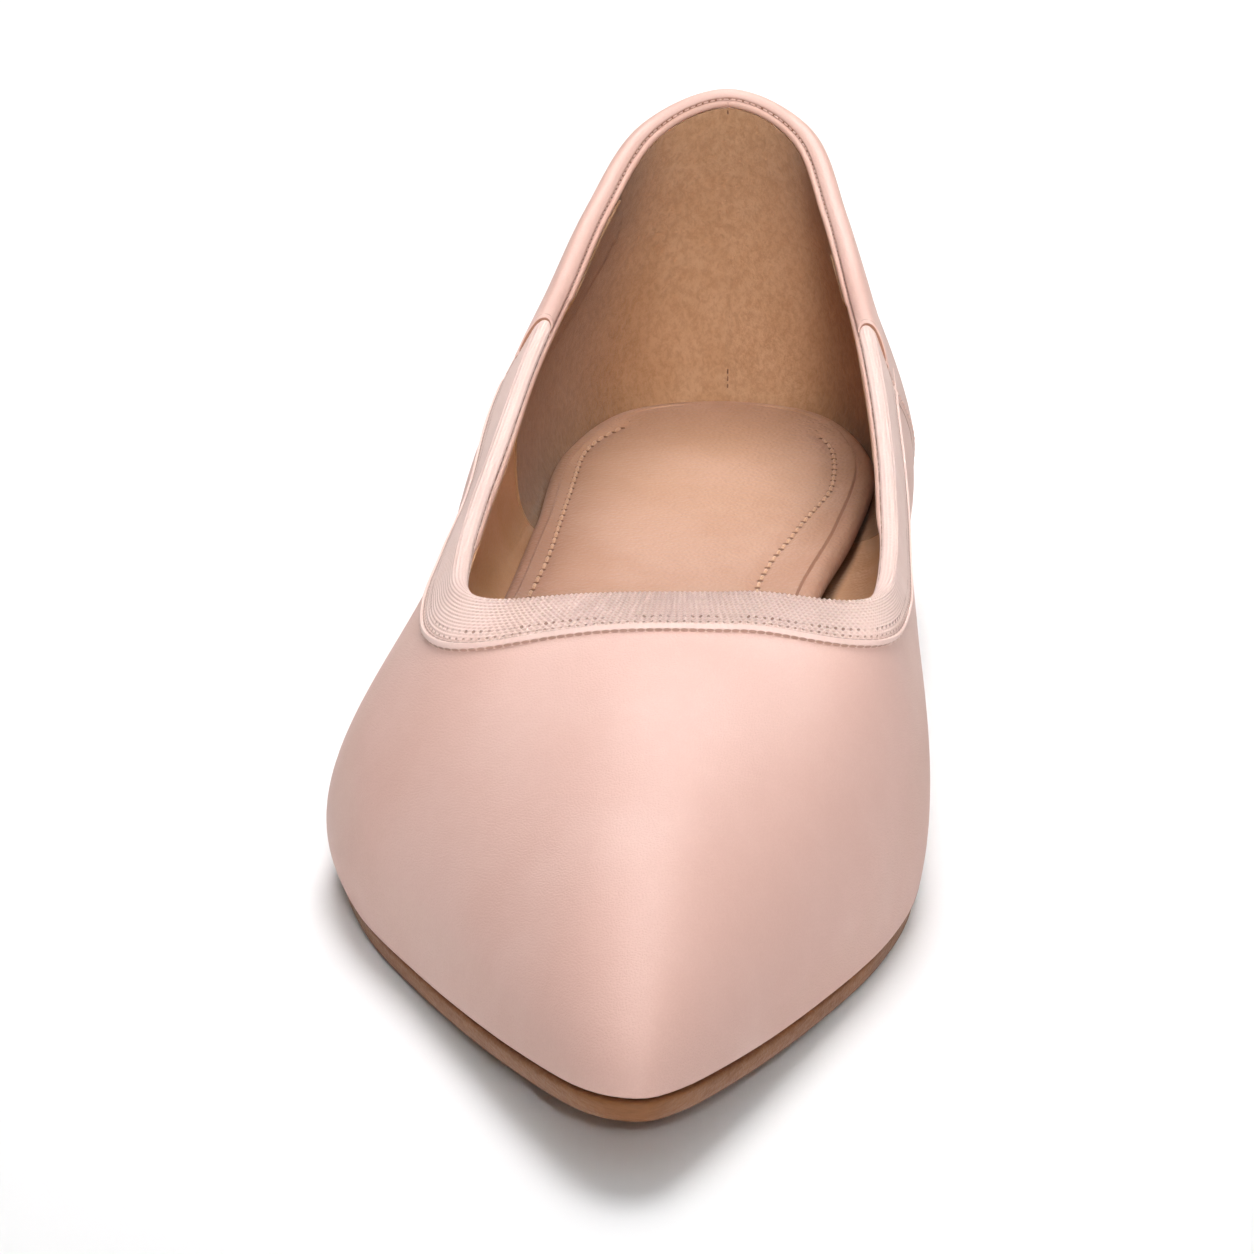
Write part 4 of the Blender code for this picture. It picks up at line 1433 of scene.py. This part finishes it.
def make_elastic():
    """Knitted elastic: ribs of small stitches, a row of holes, and a cord between stitched lines, with
    painted shade in the rib valleys and in the groove by the bead.
    """
    material, tree, shader = start_material("blush_elastic", Specular_IOR_Level=0.3, Sheen_Weight=0.15,
                                            Sheen_Roughness=0.5)
    strip = strip_of(tree)
    split = parts_of(tree, strip)
    u, v = split[0], split[1]
    away = result(tree, "ABSOLUTE", u)
    front = span(tree, away, 0.021, 0.032, 1.0, 0.0)
    slant = result(tree, "MULTIPLY", result(tree, "MULTIPLY", u, 30.0), result(tree, "MAXIMUM", v, 0.0))
    across = wave(tree, result(tree, "SUBTRACT", u, slant), RIB_PITCH)
    rung = wave(tree, v, 0.00058)
    knit = result(tree, "MULTIPLY_ADD", rung, 0.95, result(tree, "MULTIPLY", across, 0.9))
    lines = wave(tree, v, 0.00056)
    nap = use_group(tree, nap_group, {"Place": place_of(tree), "Fibres": 3600.0, "Patches": 120.0})
    cross = wave(tree, u, 0.00046)
    side = result(tree, "MULTIPLY_ADD", cross, 0.26, result(tree, "MULTIPLY", lines, 0.42))
    height = node(tree, "ShaderNodeMix", {0: front, 2: side, 3: knit}, data_type="FLOAT").outputs[0]
    plain = result(tree, "MINIMUM", span(tree, v, BAND_WIDTH - 0.0012, BAND_WIDTH - 0.0010, 1.0, 0.10),
                   span(tree, v, -0.0030, -0.0012, 0.25, 1.0))
    height = result(tree, "MULTIPLY", height, plain)
    height = result(tree, "MULTIPLY_ADD", nap["Height"], 0.6, height)
    uneven = noise(tree, place_of(tree), 260.0, 2.0)
    holes = hole_row(tree, strip, BAND_WIDTH - 0.0028, LOOP_PITCH, 0.00046, 0.00058)
    holes = result(tree, "MULTIPLY", holes, span(tree, uneven, 0.38, 0.60, 0.12, 0.72))
    loops = hole_row(tree, strip, BAND_WIDTH - 0.00155, LOOP_PITCH, 0.00040, 0.00034)
    loops = result(tree, "MULTIPLY", loops, 0.55)
    edge = hole_row(tree, strip, BAND_WIDTH + 0.00012, 0.00120, 0.00120, 0.00022)
    inside = hole_row(tree, strip, BAND_WIDTH - 0.00100, 0.00120, 0.00130, 0.00026)
    edge = result(tree, "MAXIMUM", result(tree, "MULTIPLY", edge, 0.6), result(tree, "MULTIPLY", inside, 0.5))
    dark = result(tree, "MAXIMUM", result(tree, "MAXIMUM", holes, loops), edge)
    height = result(tree, "SUBTRACT", height, result(tree, "MULTIPLY", dark, 2.6))
    colour = blend(tree, nap["Tone"], linear("F6D8CE"), linear("F1D0C5"))
    # painted shade: the colour darkens in the low valleys between the ribs
    painted_valley_shade = span(tree, height, -1.1, 0.9, 0.50, 0.0)
    colour = blend(tree, painted_valley_shade, colour, linear("D2A898"))
    # painted shade in the groove by the bead, added to the needle holes and dashes
    dark = result(tree, "MAXIMUM", dark, painted_groove_shade(tree, v))
    colour = blend(tree, dark, colour, linear("A0705A"))
    tree.links.new(colour, shader.inputs["Base Color"])
    tree.links.new(span(tree, nap["Tone"], 0.0, 1.0, 0.62, 0.78), shader.inputs["Roughness"])
    bump_up(tree, shader, height, 0.00012)
    return material


def make_suede(name, light, deep, fibres=2600.0, depth=0.00022):
    """Brushed lining with a deep nap, with painted shade that darkens it away from the middle of the back and
    in the gap at its foot.
    """
    material, tree, shader = start_material(name, Specular_IOR_Level=0.12, Sheen_Weight=0.22,
                                            Sheen_Roughness=0.55)
    nap = use_group(tree, nap_group, {"Place": place_of(tree), "Fibres": fibres, "Patches": 160.0})
    colour = blend(tree, nap["Tone"], linear(deep), linear(light))
    # painted shade: the lining darkens towards its sides, away from the middle of the back
    across = parts_of(tree, place_of(tree))[0]
    away = result(tree, "ABSOLUTE", result(tree, "SUBTRACT", across, wall_point(0.0, 0.9).x))
    tone_share = span(tree, away, 0.005, 0.022, 0.0, 0.75)
    speck = span(tree, nap["Height"], 0.70, 1.05, 0.45, 0.0)
    colour = blend(tree, speck, colour, blend(tree, 1.0, colour, (0.70, 0.64, 0.58, 1.0), "MULTIPLY"))
    # painted shade in the gap at the lining's foot, under the sock's edge
    foot = parts_of(tree, strip_of(tree))[1]
    colour = painted_gap_shade(tree, colour, foot, 0.0010, 0.0022)
    colour = blend(tree, tone_share, colour, blend(tree, 1.0, colour, (0.60, 0.48, 0.34, 1.0), "MULTIPLY"))
    tree.links.new(colour, shader.inputs["Base Color"])
    tree.links.new(span(tree, nap["Tone"], 0.0, 1.0, 0.95, 0.85), shader.inputs["Roughness"])
    bump_up(tree, shader, nap["Height"], depth)
    return material


def make_sock_leather():
    """Soft sock leather, with painted light at the heel end, painted shade at the front and painted shade in
    the gap down its rolled side.
    """
    material, tree, shader = start_material("sock_leather", Specular_IOR_Level=0.32, Sheen_Weight=0.06)
    place = place_of(tree)
    grain = use_group(tree, grain_group, {"Place": place, "Cells": 1500.0, "Patches": 45.0})
    creased = node(tree, "ShaderNodeMapping", {"Vector": place, "Rotation": (0.0, 0.0, radians(32)),
                                               "Scale": (0.25, 1.0, 0.6)}).outputs[0]
    creases = noise(tree, creased, 1500.0, 2.0, Roughness=0.5)
    height = result(tree, "MULTIPLY_ADD", creases, 1.1, grain["Height"])
    along = parts_of(tree, place)[1]
    # painted shade at the front and painted light at the heel end, as a colour shift along the foot
    front = blend(tree, grain["Tone"], linear("C29A84"), linear("B88D75"))
    painted_light_heel_end = blend(tree, grain["Tone"], linear("D6AD92"), linear("CCA080"))
    colour = blend(tree, span(tree, along, 0.040, 0.108), front, painted_light_heel_end)
    holes = hole_row(tree, strip_of(tree), 0.0, SOCK_PITCH, 0.0008, 0.0009)
    colour = blend(tree, holes, colour, linear("7E543A"))
    # painted shade in the gap down the rolled side
    deep = result(tree, "ABSOLUTE", parts_of(tree, strip_of(tree))[1])
    colour = painted_gap_shade(tree, colour, result(tree, "SUBTRACT", 0.0, deep), -0.0234, -0.0208)
    height = result(tree, "MULTIPLY_ADD", holes, -3.0, height)
    tree.links.new(colour, shader.inputs["Base Color"])
    tree.links.new(span(tree, grain["Tone"], 0.0, 1.0, 0.5, 0.6), shader.inputs["Roughness"])
    bump_up(tree, shader, height, 0.00008)
    return material


def make_sole_leather(name, light, deep, inked):
    """Sole leather: fibres run along the cut edge, with darker inked streaks among them."""
    material, tree, shader = start_material(name, Specular_IOR_Level=0.4)
    place = place_of(tree)
    layers = node(tree, "ShaderNodeMapping", {"Vector": place, "Scale": (0.12, 0.12, 1.0)}).outputs[0]
    fibres = noise(tree, layers, 3800.0, 3.0, Roughness=0.6)
    grain = use_group(tree, grain_group, {"Place": place, "Cells": 1900.0, "Patches": 70.0})
    colour = blend(tree, grain["Tone"], linear(light), linear(deep))
    colour = blend(tree, span(tree, fibres, 0.35, 0.75, 0.0, 0.45), colour, linear(inked))
    tree.links.new(colour, shader.inputs["Base Color"])
    tree.links.new(span(tree, fibres, 0.3, 0.7, 0.42, 0.58), shader.inputs["Roughness"])
    height = result(tree, "MULTIPLY_ADD", fibres, 1.0, result(tree, "MULTIPLY", grain["Height"], 0.4))
    bump_up(tree, shader, height, 0.00006)
    return material


def make_thread(name, light, deep):
    """Twisted sewing thread."""
    material, tree, shader = start_material(name, Specular_IOR_Level=0.35, Sheen_Weight=0.2)
    twist = noise(tree, place_of(tree), 5200.0, 2.0)
    colour = blend(tree, span(tree, twist, 0.35, 0.65), linear(light), linear(deep))
    tree.links.new(colour, shader.inputs["Base Color"])
    tree.links.new(span(tree, twist, 0.3, 0.7, 0.5, 0.7), shader.inputs["Roughness"])
    bump_up(tree, shader, twist, 0.00005)
    return material


def make_paper():
    """Plain pale studio floor."""
    material, tree, shader = start_material("studio_floor", Specular_IOR_Level=0.0, Roughness=1.0)
    cloudy = noise(tree, place_of(tree), 3.0, 1.0)
    colour = blend(tree, cloudy, (0.90, 0.90, 0.90, 1), (0.92, 0.92, 0.92, 1))
    tree.links.new(colour, shader.inputs["Base Color"])
    return material


# Each piece with its material, slot and CAD nodes

def dress(piece, material, nodes=()):
    """Give a piece its material and the CAD nodes it stands for."""
    piece.data.materials.clear()
    piece.data.materials.append(material)
    for name in nodes:
        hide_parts(name)


blush = make_leather("blush_leather", "E1BCB0", "DCB4A7", 0.50, cells=3800.0, depth=0.000034,
                     specular=0.45)
# painted shade: the quarters use a darker copy of the blush leather, toned down where the lamps light their
# flanks
painted_shade_quarter_leather = make_leather("painted_shade_quarter_leather", "D9B4A8", "D3AC9F", 0.44, cells=3800.0, depth=0.000028,
                               specular=0.5, raw_edge="94634B")
# the roll's leather carries painted shade in the groove beside the bead
blush_roll = make_leather("blush_roll_leather", "E1BCB0", "DCB4A7", 0.43, cells=3800.0, depth=0.000022,
                          raw_edge="94634B", groove_shade_line=True)
bead_leather = make_leather("bead_leather", "DDB4A4", "D8AB9A", 0.44, cells=3600.0, depth=0.00003)
tan_lining = make_leather("tan_lining_leather", "D2A47F", "C89870", 0.52, cells=1700.0, depth=0.00005,
                          patches=60.0, painted_shade_below=True)
suede = make_suede("tan_suede", "CFA480", "C2956E")
sock_leather = make_sock_leather()
elastic = make_elastic()
sole_edge = make_sole_leather("sole_leather_inked", "915F39", "865531", "6D4424")
heel_stack = make_sole_leather("heel_leather_stacked", "96633F", "875637", "6B4229")
blush_thread = make_thread("blush_thread", "F0D2C6", "DFB7A8")
brown_thread = make_thread("brown_thread", "94694B", "805A40")
tan_thread = make_thread("tan_thread", "E4C1A4", "D2A785")

dress(make_vamp(), blush, ["upper"])
dress(make_quarters(), painted_shade_quarter_leather, ["upper"])
dress(make_throat_band(), elastic, ["throat_band"])
dress(make_collar_roll(), blush_roll, ["collar_roll"])
for bead in make_back_beads() + make_front_beads():
    dress(bead, bead_leather)
counter_start, counter_end = STATIONS - COUNTER_REACH, STATIONS + COUNTER_REACH
seam_start, seam_end = STATIONS - BACK_SEAM_REACH, STATIONS + BACK_SEAM_REACH
counter_places = (even_places(counter_start, seam_start, LINING_PITCH)[:-1]
                  + even_places(seam_start, seam_end, BACK_SEAM_PITCH)[:-1]
                  + even_places(seam_end, counter_end, LINING_PITCH))
dress(make_lining("counter_lining", counter_places, 0.0003, seam=STATIONS), suede)
throat_places = even_places(THROAT_LINING_END, STATIONS - THROAT_LINING_END, LINING_PITCH)
dress(make_lining("throat_lining", throat_places, 0.0), tan_lining)
dress(make_outsole(), sole_edge, ["outsole"])
dress(make_heel(), heel_stack, ["heel"])
sock = make_sock()
dress(sock, sock_leather, ["insole"])
dress(make_band_stitches(), blush_thread)
dress(make_seam_stitches(), blush_thread)
dress(make_collar_stitches(), blush_thread)
dress(make_sock_stitches(), tan_thread)
dress(make_lining_stitches(), brown_thread)


# Studio: the camera fitted to the photo, and lamps
CAMERA_TURN = radians(3.0)
CAMERA_TILT = radians(22.5)
CAMERA_DISTANCE = 1.200
CAMERA_TARGET = Vector((0.0056, 0.0, 0.025))
SENSOR = 36.0
PHOTO_WIDTH = 1254
PIXELS_PER_METRE = 5.3 * 1000
TARGET_PIXEL_X = 385
TARGET_PIXEL_Y = 654.4
MIDDLE_PIXEL_X = 344
MIDDLE_PIXEL_Y = 645
ENLARGED = 1.3

# Name, place, target, side, watts and spread in degrees
LAMPS = [
    ("key", (0.02, 0.84, 1.22), (0.0, 0.0, 0.03), 0.70, 9.5, 180.0),
    ("top", (0.02, 0.44, 1.45), (0.0, 0.0, 0.03), 0.70, 11.6, 180.0),
    ("fill", (0.20, -0.95, 1.35), (0.0, -0.05, 0.03), 0.90, 3.4, 180.0),
    ("inside", (0.12, -1.05, 0.62), (0.0, 0.090, 0.035), 0.22, 0.15, 18.0),
]


def make_studio():
    """White floor, soft overhead light, and a camera at the photograph's angle."""
    bpy.ops.mesh.primitive_circle_add(vertices=96, radius=4.0, fill_type="NGON",
                                      location=(0, 0, -0.0002))
    floor = bpy.context.object
    floor.name = "studio_floor"
    bpy.ops.object.transform_apply(location=True, rotation=True, scale=True)
    floor.select_set(False)
    floor.data.materials.append(make_paper())

    world = bpy.data.worlds.new("studio")
    bpy.context.scene.world = world
    world.use_nodes = True
    sky = world.node_tree.nodes["Background"]
    sky.inputs["Color"].default_value = (1.0, 0.99, 0.98, 1.0)
    sky.inputs["Strength"].default_value = 0.17

    for name, place, target, size, power, spread in LAMPS:
        light = bpy.data.lights.new(name, "AREA")
        light.shape = "SQUARE"
        light.size = size
        light.energy = power
        light.spread = radians(spread)
        lamp = bpy.data.objects.new(name, light)
        lamp.location = place
        lamp.rotation_euler = (Vector(target) - Vector(place)).to_track_quat("-Z", "Y").to_euler()
        bpy.context.scene.collection.objects.link(lamp)

    turn, tilt = CAMERA_TURN, CAMERA_TILT
    back = Vector((sin(turn) * cos(tilt), -cos(turn) * cos(tilt), sin(tilt)))
    right = Vector((cos(turn), sin(turn), 0.0))
    up = back.cross(right)
    eye = CAMERA_TARGET + back * CAMERA_DISTANCE
    across = right * (MIDDLE_PIXEL_X - TARGET_PIXEL_X) / PIXELS_PER_METRE
    down = up * (MIDDLE_PIXEL_Y - TARGET_PIXEL_Y) / PIXELS_PER_METRE
    middle = CAMERA_TARGET + across - down
    lens = bpy.data.cameras.new("view")
    lens.sensor_width = SENSOR
    lens.lens = SENSOR * PIXELS_PER_METRE * CAMERA_DISTANCE * ENLARGED / PHOTO_WIDTH
    lens.clip_start = 0.01
    lens.clip_end = 20.0
    camera = bpy.data.objects.new("view", lens)
    camera.location = eye
    camera.rotation_euler = (middle - eye).to_track_quat("-Z", "Y").to_euler()
    bpy.context.scene.collection.objects.link(camera)
    bpy.context.scene.camera = camera
    bpy.context.scene.view_settings.view_transform = "Standard"


make_studio()
